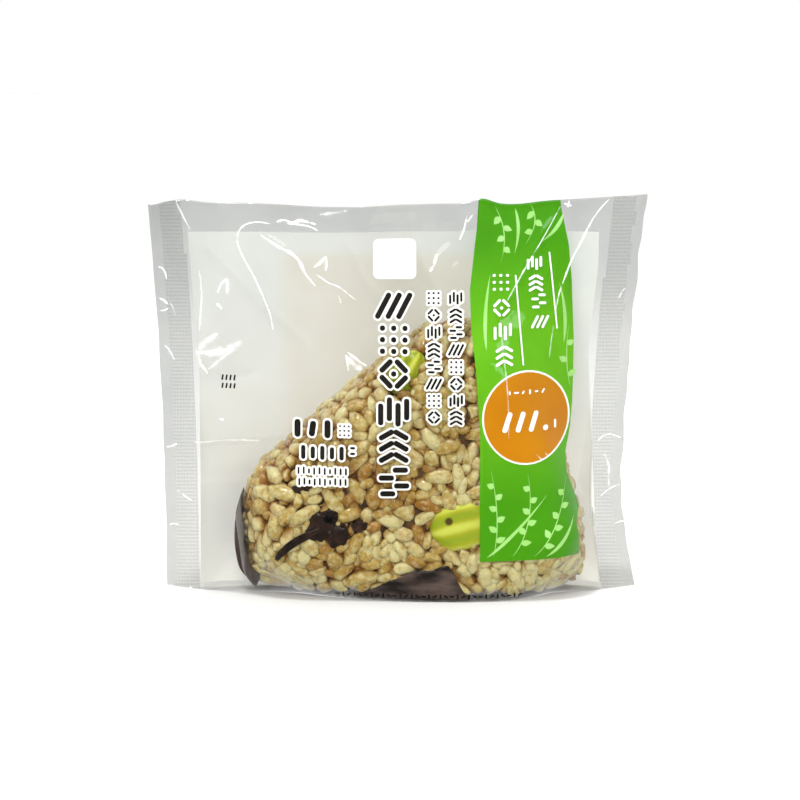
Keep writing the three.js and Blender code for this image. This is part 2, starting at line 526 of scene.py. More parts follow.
class StudioSettings(bpy.types.PropertyGroup):
    camera_distance: length_setting("Camera distance", "From the camera to the pack", 600)
    camera_elevation: FloatProperty(
        name="Camera elevation", description="How far the camera looks down",
        default=math.radians(7), subtype="ANGLE",
    )
    backdrop: FloatProperty(
        name="Backdrop", description="Brightness of the white behind the pack", default=1.0,
    )


def settings(kind):
    return getattr(bpy.context.scene, "rice_pack_" + kind)


# Film

RIB_HEIGHT = 0.10  # relief of the crimped ribs, in millimetres
RIBBED_FROM = 2.3  # the ribbed stretch of a seal, measured from its outer edge
RIBBED_TO = 7.4
MIRROR_LEAST = 0.045  # what the film mirrors where it is seen square on
FILM_HAZE = 0.003  # share of the light that one layer of film scatters
MARGIN_HAZE = 0.17  # the same for a seal's margin at the foot
CRIMP_HAZE = 0.165  # and for its ribs, which swing round it by so much
CRIMP_SWING = 0.042


def film_material(name, crimped=False, margin=False):
    """Oriented polypropylene film: clear, hard and glossy, with a faint haze, which greys the
    white behind it. Crimping leaves ribs with cuts across them, which catch the light, and a hazy
    margin outside them, hazier towards the foot. Its tint is painted greyer towards the fold and
    towards the left seal, as painted shade."""
    film = settings("film")
    made, tree = new_material(name)
    place = object_place(tree)
    axes = axes_of(tree, place)
    relief = bump(tree, clouds(tree, place, 3.2, 4), 0.5, 0.05)
    height = maths(tree, "MULTIPLY", axes["Z"], 1 / (PACK_HEIGHT * MM))
    uneven = maths(tree, "MULTIPLY_ADD", clouds(tree, place, 14, 3), 1.1, -0.55)
    upward = maths(tree, "ADD", height, uneven)
    # Painted shade: the tint is made greyer towards the fold and towards the left seal.
    shade_to_left = mapped(tree, axes["X"], -45 * MM, -50 * MM, 0.25)
    painted_shade = maths(tree, "MULTIPLY", maths(tree, "ADD", upward, shade_to_left), 0.68)
    tint = ramp(
        tree, painted_shade,
        (0.07, film.clearness_low), (0.98, linear("#dcdddc")), (0.64, film.clearness),
    )
    haze_share = FILM_HAZE
    if margin:
        haze_share = mapped(tree, height, 0.95, 0.5, MARGIN_HAZE, 0.03)
    if crimped:
        ribs, cuts = [
            maths(tree, "SINE", maths(tree, "MULTIPLY", axes[axis], 2 * math.pi / pitch))
            for axis, pitch in (("X", film.rib_pitch), ("Z", film.dash_pitch))
        ]
        knurl = maths(tree, "MULTIPLY_ADD", ribs, 0.6, cuts)
        relief = bump(tree, knurl, 0.25, RIB_HEIGHT, relief)
        haze_share = maths(tree, "MULTIPLY_ADD", knurl, CRIMP_SWING, CRIMP_HAZE, clamped=True)
    through = shader(tree, "Transparent", {"Color": tint})
    haze = shader(tree, "Diffuse", {
        "Color": linear("#7c7d7b" if crimped or margin else "#e0e0de"),
    })
    veiled = shaders_mixed(tree, haze_share, through, haze)
    gloss = shader(tree, "Glossy", {"Color": WHITE, "Roughness": 0.07, "Normal": relief})
    slant = node(tree, "ShaderNodeLayerWeight", {"Blend": 0.5, "Normal": relief})
    steep = maths(tree, "POWER", slant.outputs["Facing"], 4.0)
    mirrored = maths(tree, "MULTIPLY_ADD", steep, 0.8, MIRROR_LEAST, clamped=True)
    return with_surface(made, shaders_mixed(tree, mirrored, veiled, gloss))


# Small unevenness of the fold along the top, as (x, rise, half width)
TOP_BUMPS = [
    (-14.0, -0.7, 12.0), (18.8, 1.0, 2.6), (26.0, -0.5, 5.0), (-47.0, 0.4, 3.0), (-54.0, -0.9, 2.5),
]


def top_bump(x):
    return sum(rise * math.exp(-((x - at) / width) ** 2) for at, rise, width in TOP_BUMPS)


def fold_rise(x, up):
    """How far the fold's unevenness moves a place, which it does in the top eighth only."""
    return top_bump(x) * smooth(up * 8 - 7)


def edge_bump(x, z):
    """The seals' outer edges aren't quite straight."""
    if x > 0:
        return 0.45 * noise.noise(Vector((3.0, z / 6.0, 0.0)))
    return 0.25 * noise.noise(Vector((8.0, z / 9.0, 0.0)))


def build_film(film):
    """Front and back as two grids that are bridged along the pack's outline."""
    width = 2 * TOP_HALF_WIDTH
    columns = round(width / (film.step / MM))
    rows = round(PACK_HEIGHT / (film.step / MM))
    bm = bmesh.new()
    for side in (FRONT, BACK):
        grid = bmesh.ops.create_grid(bm, x_segments=columns, y_segments=rows, size=0.5)
        for vertex in grid["verts"]:
            across, up = vertex.co.x + 0.5, vertex.co.y + 0.5
            nominal = PACK_HEIGHT * up
            x = mix(left_edge(nominal), right_edge(nominal), across)
            z = mix(bottom_edge(x), top_edge(x), up)
            y = film_y(side, x, z)
            x += edge_bump(x, z) * smooth(abs(2 * across - 1) * 6 - 5)
            z += fold_rise(x, up)
            vertex.co = (x, y, z)
    rim = [edge for edge in bm.edges if edge.is_boundary]
    bmesh.ops.bridge_loops(bm, edges=rim)
    bmesh.ops.recalc_face_normals(bm, faces=bm.faces)
    for face in bm.faces:
        middle = face.calc_center_median()
        seal = min(middle.x - left_edge(middle.z), right_edge(middle.z) - middle.x)
        face.material_index = 2 if seal < RIBBED_FROM else 1 if seal < RIBBED_TO else 0
    return bm


# Painted highlights: white lines where creases of the film catch the light, as points (x, z) and a
# width
PAINTED_GLINT_CREASES = [
    ([(-27.7, 81.8), (-30.5, 82.2), (-33.3, 81.6), (-34.8, 80.0), (-35.0, 77.6), (-33.6, 74.2),
      (-31.4, 70.4), (-29.3, 65.9), (-27.7, 61.8), (-27.2, 58.7)], 0.48),
    ([(-30.6, 79.9), (-28.3, 78.3), (-25.5, 76.6), (-23.0, 75.3), (-21.3, 73.5), (-19.9, 70.8),
      (-17.7, 68.3)], 0.85),
    ([(-26.6, 82.3), (-24.8, 82.8), (-23.1, 82.2), (-21.3, 82.8), (-19.6, 82.5),
      (-17.6, 82.0)], 0.9),
    ([(-24.4, 82.0), (-21.8, 81.9), (-19.3, 81.5), (-17.4, 80.6)], 0.6),
    ([(-19.0, 72.2), (-17.3, 73.0), (-15.5, 74.8)], 0.9),
    ([(-15.5, 74.8), (-15.5, 71.5)], 0.7),
    ([(-18.5, 71.5), (-15.0, 69.1), (-12.5, 68.1), (-9.0, 65.4)], 0.3),
    ([(-10.9, 54.4), (-8.9, 53.0), (-6.5, 51.4)], 0.75),
    ([(-11.1, 53.9), (-10.8, 52.2), (-10.6, 50.1)], 0.5),
    ([(-44.3, 53.4), (-41.9, 53.5), (-39.2, 54.0)], 0.3),
    ([(-44.2, 53.3), (-43.3, 51.0), (-42.1, 49.3)], 0.35),
    ([(-52.9, 72.3), (-51.7, 71.8), (-51.1, 70.6), (-50.9, 69.3)], 0.45),
    ([(-52.6, 65.3), (-51.5, 64.7), (-50.7, 63.8)], 0.7),
    ([(-52.5, 62.5), (-51.5, 62.5), (-50.5, 63.1)], 0.55),
    ([(-51.4, 32.1), (-50.3, 32.2), (-48.7, 32.9)], 0.55),
    ([(-49.1, 22.3), (-47.3, 20.8), (-45.7, 19.8)], 0.4),
    ([(-51.6, 14.2), (-50.0, 14.7), (-48.5, 14.4)], 0.35),
    ([(-39.2, 38.7), (-38.2, 38.7)], 0.6),
    ([(15.4, 83.6), (14.9, 81.1), (13.7, 78.2)], 0.6),
    ([(15.2, 81.7), (16.7, 83.4)], 0.45),
    ([(8.8, 75.5), (8.1, 73.4), (7.1, 71.5)], 1.0),
    ([(36.1, 85.7), (31.9, 78.5), (28.7, 73.4), (26.2, 69.2), (24.0, 65.4)], 0.4),
    ([(46.8, 87.2), (44.3, 84.5), (42.1, 81.2), (39.9, 76.9), (38.4, 74.2), (36.8, 70.2),
      (35.5, 66.6), (34.8, 63.0)], 0.55),
    ([(36.6, 86.2), (38.5, 85.6)], 0.5),
    ([(37.9, 86.8), (37.6, 85.2)], 0.45),
    ([(44.7, 33.4), (46.0, 34.6), (47.6, 34.9), (50.1, 34.0)], 0.45),
    ([(45.3, 20.8), (47.7, 22.8), (49.9, 23.7)], 0.4),
    ([(48.2, 14.4), (50.0, 15.3), (51.6, 15.2)], 0.35),
]
# Softer painted highlights: cloudy sheen along softer creases
PAINTED_SHEEN_CREASES = [
    ([(-44.5, 54.0), (-43.5, 50.7), (-41.6, 48.5)], 0.7),
    ([(-44.3, 53.2), (-39.0, 53.6), (-33.9, 56.0)], 1.9),
    ([(-11.0, 53.4), (-9.2, 51.6), (-7.4, 50.8)], 1.8),
    ([(-45.4, 33.0), (-43.1, 33.3), (-38.7, 34.1)], 0.4),
    ([(-44.2, 53.7), (-42.0, 55.8), (-39.3, 57.8)], 1.6),
    ([(-42.0, 49.4), (-39.0, 51.9), (-36.0, 54.2)], 0.8),
    ([(-43.6, 71.6), (-43.1, 66.7), (-43.4, 61.3), (-43.7, 57.4)], 0.5),
    ([(-37.5, 70.0), (-38.7, 68.5), (-39.6, 66.3)], 0.8),
    ([(-37.5, 70.0), (-37.3, 68.1), (-37.5, 66.1)], 0.9),
    ([(-40.1, 64.5), (-39.2, 63.7), (-38.2, 62.8)], 0.8),
    ([(-50.4, 64.5), (-49.4, 62.8), (-49.0, 60.9)], 0.4),
    ([(-51.7, 54.9), (-50.5, 53.7), (-49.1, 51.0)], 0.5),
    ([(-38.7, 34.1), (-34.5, 34.5), (-30.0, 34.6)], 0.4),
    ([(-48.7, 86.2), (-47.3, 83.4), (-45.5, 80.1)], 0.5),
    ([(-17.2, 84.3), (-14.1, 84.7), (-10.8, 85.2)], 0.8),
    ([(-13.0, 66.8), (-12.1, 64.6)], 0.4),
    ([(22.5, 61.8), (23.0, 54.7), (23.7, 48.9), (24.1, 42.3), (24.2, 35.9)], 0.3),
    ([(34.3, 59.9), (33.7, 56.2), (33.3, 52.7)], 0.3),
    ([(45.9, 31.1), (47.2, 27.7), (47.1, 22.3)], 0.6),
    ([(48.9, 64.8), (49.7, 66.6), (50.6, 67.5)], 0.5),
]
CREASE_STANDS_OUT = 0.1  # of the film's mesh, so that the painted highlight isn't hidden by it
CREASE_STEP = 0.45
CREASE_WAYS = (-1, -0.5, 0, 0.5, 1)  # from one side of a crease to the other


def painted_glint_material(name, softness, most):
    """A painted highlight along a crease: white, clear at its edges and where it is softer."""
    made, tree = new_material(name)
    patchy = mapped(tree, clouds(tree, object_place(tree), 2.0, 3), 0.3, 0.52, most)
    faded = maths(tree, "POWER", attribute(tree, "middle"), softness)
    share = maths(tree, "MULTIPLY", faded, patchy)
    white = shader(tree, "Diffuse", {"Color": WHITE})
    behind = shader(tree, "Translucent", {"Color": WHITE})
    lit = shaders_mixed(tree, 0.35, white, behind)
    return with_surface(made, shaders_mixed(tree, share, shader(tree, "Transparent"), lit))


def build_painted_glints(lines, spread):
    """Strips of painted highlight along the creases, uneven in width and narrow at both ends.
    Each point knows how near the middle of its crease it is."""
    bm = bmesh.new()
    middle = bm.verts.layers.float.new("middle")
    for seed, (points, width) in enumerate(lines):
        whole = sum(math.dist(a, b) for a, b in zip(points, points[1:]))
        steps = max(6, round(whole / CREASE_STEP))
        line = [along_line(points, i / steps) for i in range(steps + 1)]
        last = None
        for i, here in enumerate(line):
            share = i / steps
            ahead = line[min(i + 1, steps)] - line[max(i - 1, 0)]
            across = Vector((-ahead.y, ahead.x)).normalized()
            uneven = 1 + 0.8 * noise.noise(Vector((seed * 7.0, share * whole / 1.5, 0.0)))
            half = spread * width * uneven * (4 * share * (1 - share)) ** 0.4 + 0.03
            row = []
            for way in CREASE_WAYS:
                x, z = here + across * half * way
                y = film_y(FRONT, x, z) - CREASE_STANDS_OUT
                vertex = bm.verts.new((x, y, z + fold_rise(x, z / top_edge(x))))
                vertex[middle] = (1 - abs(way)) * (4 * share * (1 - share)) ** 0.25
                row.append(vertex)
            if last:
                for k in range(len(row) - 1):
                    bm.faces.new((last[k], row[k], row[k + 1], last[k + 1]))
            last = row
    return bm


class RICEPACK_OT_film(bpy.types.Operator):
    """Make the clear film pack with its seals"""

    bl_idname = "ricepack.film"
    bl_label = "Film Pack"

    def execute(self, context):
        clear = film_material("polypropylene_film")
        crimped = film_material("crimped_polypropylene_film", crimped=True)
        margin = film_material("polypropylene_film_margin", margin=True)
        piece = finish_piece("film_sheet", build_film(settings("film")), [clear, crimped, margin])
        # Painted highlights: white and cloudy strips laid on the film where its creases catch the
        # light.
        hard = painted_glint_material("painted_glint_film", 0.8, 1.0)
        soft = painted_glint_material("painted_sheen_film", 1.5, 0.55)
        finish_piece("painted_crease_glints", build_painted_glints(PAINTED_GLINT_CREASES, 0.42), [hard])
        finish_piece("painted_crease_sheen", build_painted_glints(PAINTED_SHEEN_CREASES, 0.7), [soft])
        return {"FINISHED"}


# Print

SLICE = 0.7  # spacing of the cuts that let a flat shape follow the film, in millimetres
PRINT_EDGE = 0.42  # width of the white edge round dark print
BAND_LIGHTEST_AT = 50.0  # height where the band's green is painted lightest; above and below it is painted darker, as painted shade


def rectangle(left, bottom, right, top, corner=0.0, corner_steps=4):
    """A rectangle's outline, with round corners where they are asked for."""
    if corner == 0:
        return [(left, bottom), (right, bottom), (right, top), (left, top)]
    points = []
    middles = [(right - corner, bottom + corner, -90), (right - corner, top - corner, 0),
               (left + corner, top - corner, 90), (left + corner, bottom + corner, 180)]
    for x, z, start in middles:
        for i in range(corner_steps + 1):
            angle = math.radians(start + 90 * i / corner_steps)
            points.append((x + corner * math.cos(angle), z + corner * math.sin(angle)))
    return points


def ellipse(x, z, wide, tall, steps=40):
    turns = [2 * math.pi * i / steps for i in range(steps)]
    return [(x + wide * math.cos(a), z + tall * math.sin(a)) for a in turns]


def blade(points, width, steps=14):
    """A long leaf along a curve through three points, pointed at both ends."""
    (ax, az), (bx, bz), (cx, cz) = points
    left, right = [], []
    for i in range(steps + 1):
        t = i / steps
        x, z = bezier(points, t)
        dx = 2 * (1 - t) * (bx - ax) + 2 * t * (cx - bx)
        dz = 2 * (1 - t) * (bz - az) + 2 * t * (cz - bz)
        length = math.hypot(dx, dz)
        half = width / 2 * math.sin(math.pi * t ** 0.8) + 0.02
        left.append((x - dz / length * half, z + dx / length * half))
        right.append((x + dz / length * half, z - dx / length * half))
    return left + right[::-1]


def drape(outlines, side, lift):
    """Flat shapes, cut into small cells and laid on the inside of the film."""
    bm = bmesh.new()
    for outline in outlines:
        bm.faces.new([bm.verts.new((x, 0, z)) for x, z in outline])
    for axis in (0, 2):
        low = min(vertex.co[axis] for vertex in bm.verts)
        high = max(vertex.co[axis] for vertex in bm.verts)
        normal = Vector((axis == 0, 0, axis == 2))
        for i in range(1, int((high - low) / SLICE) + 1):
            everything = bm.verts[:] + bm.edges[:] + bm.faces[:]
            cut = normal * (low + i * SLICE)
            bmesh.ops.bisect_plane(bm, geom=everything, plane_co=cut, plane_no=normal)
    for vertex in bm.verts:
        x, z = vertex.co.x, vertex.co.z
        y = film_y(side, x, z)
        vertex.co.y = y - side * min(lift, abs(y))
        vertex.co.z += fold_rise(x, z / top_edge(x))
    bmesh.ops.recalc_face_normals(bm, faces=bm.faces)
    if sum(face.normal.y for face in bm.faces) * side < 0:
        bmesh.ops.reverse_faces(bm, faces=bm.faces)
    return bm


def ink_material(name, colour, other, painted_shade_colour=None, clear=0.0):
    """Printing ink on the inside of the film: even and matt, a little thinner in patches. The
    green is painted darker towards the fold and the foot, as painted shade, and lets some of what is
    behind it show."""
    made, tree = new_material(name)
    place = object_place(tree)
    tone = ramp(tree, clouds(tree, place, 9, 2), (0.35, colour), (0.7, other))
    if painted_shade_colour:
        # Painted shade: the green is made darker away from that height, towards the fold and the foot.
        above = maths(tree, "SUBTRACT", axes_of(tree, place)["Z"], BAND_LIGHTEST_AT * MM)
        share = mapped(tree, maths(tree, "ABSOLUTE", above), 8 * MM, 28 * MM)
        tone = colours_mixed(tree, share, tone, painted_shade_colour)
    surface = shader(tree, "Principled", {
        "Base Color": tone, "Roughness": 0.5, "Specular IOR Level": 0.05,
    })
    if clear:
        through = shader(tree, "Transparent", {"Color": colour})
        surface = shaders_mixed(tree, clear, surface, through)
    return with_surface(made, surface)


BAND_LEFT = [(17.8, 82.0), (17.1, 77.4), (15.9, 67.7), (16.1, 60.0), (17.1, 50.4), (18.0, 37.0),
             (18.0, 22.8), (18.1, 9.1)]
BAND_RIGHT = [(40.1, 9.6), (40.0, 14.1), (39.4, 16.8), (40.1, 19.9), (39.0, 23.3), (37.3, 27.7),
              (36.9, 31.6), (38.1, 37.5), (38.6, 43.0), (38.8, 49.1), (38.9, 57.2), (38.4, 69.3),
              (37.7, 77.4), (36.8, 82.0)]
DISC = (28.2, 40.4, 9.4, 9.7)
COLUMN_HEIGHTS = [64.3, 57.1, 49.9, 41.9, 34.8, 26.7]
COLUMN_SIZE = 7.2
STEMS = [  # curves through three points, and how many leaves each carries
    ([(21.0, 10.2), (22.8, 18.0), (20.4, 29.0)], 6),
    ([(25.2, 10.2), (30.4, 17.0), (28.4, 28.4)], 6),
    ([(30.0, 10.2), (35.8, 15.0), (37.0, 27.0)], 6),
    ([(21.6, 85.4), (24.8, 80.6), (22.8, 73.6)], 4),
    ([(29.4, 86.2), (31.8, 82.6), (28.2, 77.4)], 3),
    ([(38.2, 46.0), (36.6, 52.0), (37.8, 60.0)], 3),
]
BLADES = [  # curves through three points, and a width
    ([(19.6, 10.0), (24.0, 13.0), (32.6, 23.4)], 0.7),
    ([(32.6, 10.0), (37.2, 12.4), (38.8, 18.4)], 0.8),
    ([(19.4, 55.0), (18.6, 62.0), (20.4, 71.0)], 0.8),
    ([(36.6, 56.0), (37.6, 62.0), (35.6, 69.0)], 0.8),
    ([(26.0, 85.6), (27.4, 81.0), (25.8, 75.4)], 0.7),
    ([(36.6, 84.0), (35.6, 80.6), (31.8, 78.0)], 0.8),
]
LEAF_LENGTH, LEAF_WIDTH = 2.3, 1.35


def bezier(points, t):
    (ax, az), (bx, bz), (cx, cz) = points
    s = 1 - t
    return s * s * ax + 2 * t * s * bx + t * t * cx, s * s * az + 2 * t * s * bz + t * t * cz


def sprig(points, leaves):
    """A thin stem with round leaves, one to each side in turn."""
    found = [blade(points, 0.2)]
    for i in range(leaves):
        t = 0.2 + 0.76 * i / leaves
        (x, z), (ahead_x, ahead_z) = bezier(points, t), bezier(points, t + 0.03)
        lean = math.atan2(ahead_z - z, ahead_x - x) + (1.0 if i % 2 else -1.0)
        reach = LEAF_LENGTH * (1 - 0.3 * i / leaves)
        tip = (x + reach * math.cos(lean), z + reach * math.sin(lean))
        middle = ((x + tip[0]) / 2, (z + tip[1]) / 2)
        found.append(blade([(x, z), middle, tip], LEAF_WIDTH, 8))
    return found


def bar(x, z, length, thickness, turn=0.0, margin=0.0):
    """A bar with round ends about its middle, turned by degrees, with a margin round it."""
    c, s = math.cos(math.radians(turn)), math.sin(math.radians(turn))
    long, high = length / 2 + margin, thickness / 2 + margin
    flat = rectangle(-long, -high, long, high, 0.45 * min(thickness, length) + margin * 0.8, 3)
    return [(x + a * c - b * s, z + a * s + b * c) for a, b in flat]


# Patterns of plain bars and dots. Each bar is its place and length as shares of the pattern's
# size, and its turn in degrees.
PATTERNS = [
    [(-0.32, 0.0, 0.86, 62), (0.0, 0.0, 0.86, 62), (0.32, 0.0, 0.86, 62)],
    [(0.34 * i, 0.34 * k, 0.16, 0) for i in (-1, 0, 1) for k in (-1, 0, 1)],
    [(-0.23, 0.23, 0.5, 45), (0.23, 0.23, 0.5, -45), (-0.23, -0.23, 0.5, -45),
     (0.23, -0.23, 0.5, 45), (0.0, 0.0, 0.16, 0)],
    [(-0.39, -0.08, 0.64, 90), (-0.13, 0.08, 0.7, 90), (0.13, -0.08, 0.7, 90),
     (0.39, 0.08, 0.64, 90)],
    [(0.22 * way, 0.34 * k - 0.04, 0.5, -30 * way) for way in (-1, 1) for k in (-1, 0, 1)],
    [(0.2, 0.36, 0.46, 0), (-0.22, 0.12, 0.46, 0), (0.24, -0.12, 0.46, 0), (-0.18, -0.36, 0.46, 0)],
]


def pattern(kind, x, z, size, weight):
    """The bars of one pattern, each as its middle, length, thickness and turn."""
    return [
        (x + across * size, z + up * size, max(length * size, weight), weight, turn)
        for across, up, length, turn in PATTERNS[kind % len(PATTERNS)]
    ]


def dashes(x, z, count, pitch, tall, weight):
    """A line of short upright bars, some of them shorter and some a little higher."""
    found = []
    for i in range(count):
        higher = 0.12 if i % 3 == 1 else 0.0
        shorter = 0.7 if i % 4 == 2 else 1.0
        found.append((x + i * pitch, z + higher, tall * shorter, weight, 90))
    return found


def dark_print():
    """A wide column of bars, two narrow columns beside it and short rows at the left."""
    found = []
    for i, z in enumerate(COLUMN_HEIGHTS):
        found += pattern(i, -0.7, z, COLUMN_SIZE, 1.15)
    for column, x in enumerate((8.0, 12.8)):
        for i in range(8):
            found += pattern(i + 2 * column + 1, x, 66.0 - i * 3.6, 3.1, 0.48)
    for i in range(3):
        odd = i % 2
        found.append((-21.7 + 3.3 * i, 37.8, 3.8 - 0.5 * odd, 1.35, 90 - 8 * odd))
    found += pattern(1, -11.4, 37.6, 2.8, 0.42)
    found += [(-20.4 + 2.1 * i, 32.8, 2.9 - 0.4 * (i % 2), 0.95, 90) for i in range(5)]
    found += [(-9.6, 32.8, 1.1, 0.5, 0), (-9.6, 34.0, 1.1, 0.5, 0)]
    found += dashes(-21.4, 28.9, 10, 1.15, 1.5, 0.42) + dashes(-21.2, 26.6, 10, 1.12, 1.5, 0.42)
    return found


def fine_print():
    """Small bars beside the left seal and along the foot."""
    found = [(-37.6 + 0.9 * i, 48.0, 1.3, 0.4, 80) for i in range(-1, 3)]
    found += [(-37.6 + 0.9 * i, 46.2, 1.2, 0.4, 80) for i in range(-1, 3)]
    found += [(-13.0 + 1.25 * i, 1.25, 1.15, 0.42, (0, 90, 30, 90, -30)[i % 5]) for i in range(33)]
    return found


def pale_print():
    """White bars on the band and its disc."""
    found = []
    for i, (x, z) in enumerate(((22.7, 69.3), (22.8, 63.9), (23.0, 58.9), (23.3, 53.9))):
        found += pattern(i + 1, x, z, 4.3, 0.62)
    for i, (x, z) in enumerate(((30.1, 73.4), (30.4, 69.2), (31.0, 65.2), (31.3, 60.7))):
        found += pattern(i + 3, x, z, 3.6, 0.6)
    found += [(26.7, 61.2, 19.4, 0.36, 94.7), (34.25, 67.4, 16.8, 0.36, 95.8)]
    found += [(23.9 + 2.9 * i, 39.6, 4.6, 1.1, 72) for i in range(3)]
    found += [(32.4, 38.0, 1.2, 1.2, 0), (34.6, 38.6, 1.9, 0.5, 90)]
    for i in range(6):
        found.append((24.4 + 1.5 * i, 45.9, 1.1 if i % 2 else 0.8, 0.4, (90, 0, 60)[i % 3]))
    return found


def band_outline():
    top = [(x, top_edge(x)) for x in (35.8, 32.0, 28.0, 24.0, 20.0, 18.2)]
    return BAND_LEFT + BAND_RIGHT + top


def band_on_the_back():
    """The band goes over the fold and down to the white field."""
    top = [(x, top_edge(x)) for x in (36.0, 30.0, 24.0, 18.0)]
    return [(17.6, 78.5), (37.2, 78.5)] + top


class RICEPACK_OT_print(bpy.types.Operator):
    """Make the print on the front of the film"""

    bl_idname = "ricepack.print"
    bl_label = "Print"

    def execute(self, context):
        ink = settings("print")
        green = ink_material(
            "green_ink", ink.green, linear("#6ab616"), painted_shade_colour=linear("#469704"), clear=0.05,
        )
        orange = ink_material("orange_ink", ink.orange, linear("#c48100"))
        leaf = ink_material("leaf_ink", ink.leaf, linear("#aede8a"))
        black = ink_material("black_ink", linear("#17130f"), linear("#221d18"))
        white = ink_material("white_ink", linear("#fbfaf7"), linear("#f3f2ee"))
        dark = dark_print()
        square = rectangle(-5.2, 70.0, 4.2, 78.6, 1.2)
        leaves = [blade(points, width) for points, width in BLADES]
        for points, count in STEMS:
            leaves += sprig(points, count)
        edges = [bar(*each, margin=PRINT_EDGE) for each in dark]
        pale = [bar(*each) for each in pale_print()] + [square]
        disc_edge = ellipse(DISC[0], DISC[1], DISC[2] + PRINT_EDGE, DISC[3] + PRINT_EDGE)
        layers = [
            ("green_band", [band_outline()], FRONT, GROUND_LIFT, green),
            ("green_band_back", [band_on_the_back()], BACK, FIELD_LIFT, green),
            ("disc_edge", [disc_edge], FRONT, FIELD_LIFT, white),
            ("orange_disc", [ellipse(*DISC)], FRONT, OUTLINE_LIFT, orange),
            ("leaf_print", leaves, FRONT, FIELD_LIFT, leaf),
            ("white_bars", pale, FRONT, INK_LIFT, white),
            ("print_edges", edges, FRONT, OUTLINE_LIFT, white),
            ("dark_bars", [bar(*each) for each in dark + fine_print()], FRONT, INK_LIFT, black),
        ]
        for name, outlines, side, lift, made in layers:
            finish_piece(name, drape(outlines, side, lift), [made])
        return {"FINISHED"}


# White field on the back

LABEL = [(-46.2, 79.8), (-45.2, 66.0), (-43.9, 50.0), (-43.9, 18.0), (-44.0, 1.2), (45.2, 1.2),
         (44.0, 20.0), (43.2, 36.0), (42.6, 52.0), (43.6, 64.0), (44.5, 72.0), (44.6, 79.8)]
WARM_PATCH = [  # where the field is warmer: axis, and where it begins to be and is
    ("X", -27.0, -22.5), ("X", 39.5, 36.0), ("Z", 75.4, 73.4),
]


def field_ink():
    """White ink on the back of the film, which lets light through. It is painted lighter towards
    the foot, as painted light, and a patch of it is warmer."""
    made, tree = new_material("white_field_ink")
    place = object_place(tree)
    axes = axes_of(tree, place)
    share = clouds(tree, place, 12, 2)
    for axis, begins, full in WARM_PATCH:
        share = maths(tree, "MULTIPLY", share, mapped(tree, axes[axis], begins * MM, full * MM))
    upper = ramp(
        tree, share,
        (0.0, linear("#d8d9d6")), (0.8, linear("#d2cfc5")), (0.35, linear("#d6d3cb")),
    )
    # Painted light: the field is made lighter towards the foot.
    painted_light_below = mapped(tree, axes["Z"], 58 * MM, 4 * MM)
    tone = colours_mixed(tree, painted_light_below, upper, linear("#ecebe6"))
    ink = shader(tree, "Principled", {
        "Base Color": tone, "Roughness": 0.5, "Specular IOR Level": 0.1,
    })
    behind = shader(tree, "Translucent", {"Color": tone})
    return with_surface(made, shaders_mixed(tree, 0.5, ink, behind))


def label_lines():
    """Plain lines of print on the outside of the white field, behind the rice ball."""
    found = []
    for i, length in enumerate((30.0, 34.0, 33.0, 28.0, 34.0, 31.0, 34.0, 26.0)):
        found.append(rectangle(-14.0, 20.4 - 2.2 * i, -14.0 + length, 21.1 - 2.2 * i))
    for i, length in enumerate((22.0, 25.0, 24.0, 18.0)):
        found.append(rectangle(0.0, 44.0 - 2.6 * i, length, 44.8 - 2.6 * i))
    return found


class RICEPACK_OT_label(bpy.types.Operator):
    """Make the white printed field on the back of the film"""

    bl_idname = "ricepack.label"
    bl_label = "White Field"

    def execute(self, context):
        grey = ink_material("grey_line_ink", linear("#6f6c68"), linear("#7c7975"))
        finish_piece("back_label", drape([LABEL], BACK, GROUND_LIFT), [field_ink()])
        finish_piece("back_lines", drape(label_lines(), BACK, INK_LIFT), [grey])
        return {"FINISHED"}


# Rice

STAINS = [  # where seasoning has run into the rice, or washed off it: (x, z, radius, strength)
    (-24.5, 33.5, 3.6, 0.8), (-17.0, 38.5, 2.0, 0.4), (-12.0, 35.0, 3.0, 0.4),
    (-7.0, 41.0, 3.6, 0.6), (-12.0, 44.0, 6.0, -0.4), (15.6, 38.7, 4.5, 0.8),
    (3.7, 25.3, 5.5, 1.1), (-5.0, 23.0, 4.0, 0.7), (-9.5, 19.0, 4.0, 0.8),
    (-9.5, 8.0, 4.6, 1.3), (5.8, 9.5, 2.8, 1.1), (-15.5, 9.0, 3.6, 0.5),
    (-30.0, 17.0, 3.0, 0.3), (-27.0, 22.5, 4.6, 0.7), (7.5, 17.5, 3.0, 0.8),
    (-20.0, 29.0, 4.0, -0.3), (-8.0, 29.0, 4.5, 0.9), (-26.0, 5.0, 7.0, -0.4),
    (-13.0, 3.0, 4.0, -0.4), (28.0, 6.0, 9.0, -0.9), (16.0, 29.0, 6.0, -0.4),
    (0.0, 14.0, 4.0, -0.4), (-23.0, 14.0, 3.0, -0.4),
]
BEANS = [  # middle (x, z), how far in, turn in degrees, share of full size
    (15.2, 16.9, 4.1, 14.0, 1.16),
    (2.2, 49.6, 3.9, 60.0, 0.72),
]
KELP_CLUMP = Vector((-15.4, 0.0, 16.4))
BEAN_ROOM = 0.41  # radius that the grains leave clear, as a share of the bean's length
KELP_ROOM = 0.62  # the same round a knot, as a share of its half width and half height
CLUMP_SEED = 11
SHREDS = 30
KELP_LUMPS = [  # dark knots of kelp, as middle (x, z), half width, half height and how far in
    (-16.2, 16.8, 3.0, 3.2, 1.2), (-13.0, 14.6, 2.6, 2.6, 1.8), (-14.6, 18.9, 2.0, 1.8, 1.4),
    (-18.2, 15.2, 1.8, 1.6, 1.2), (-8.2, 16.8, 1.8, 1.4, 1.6),
]


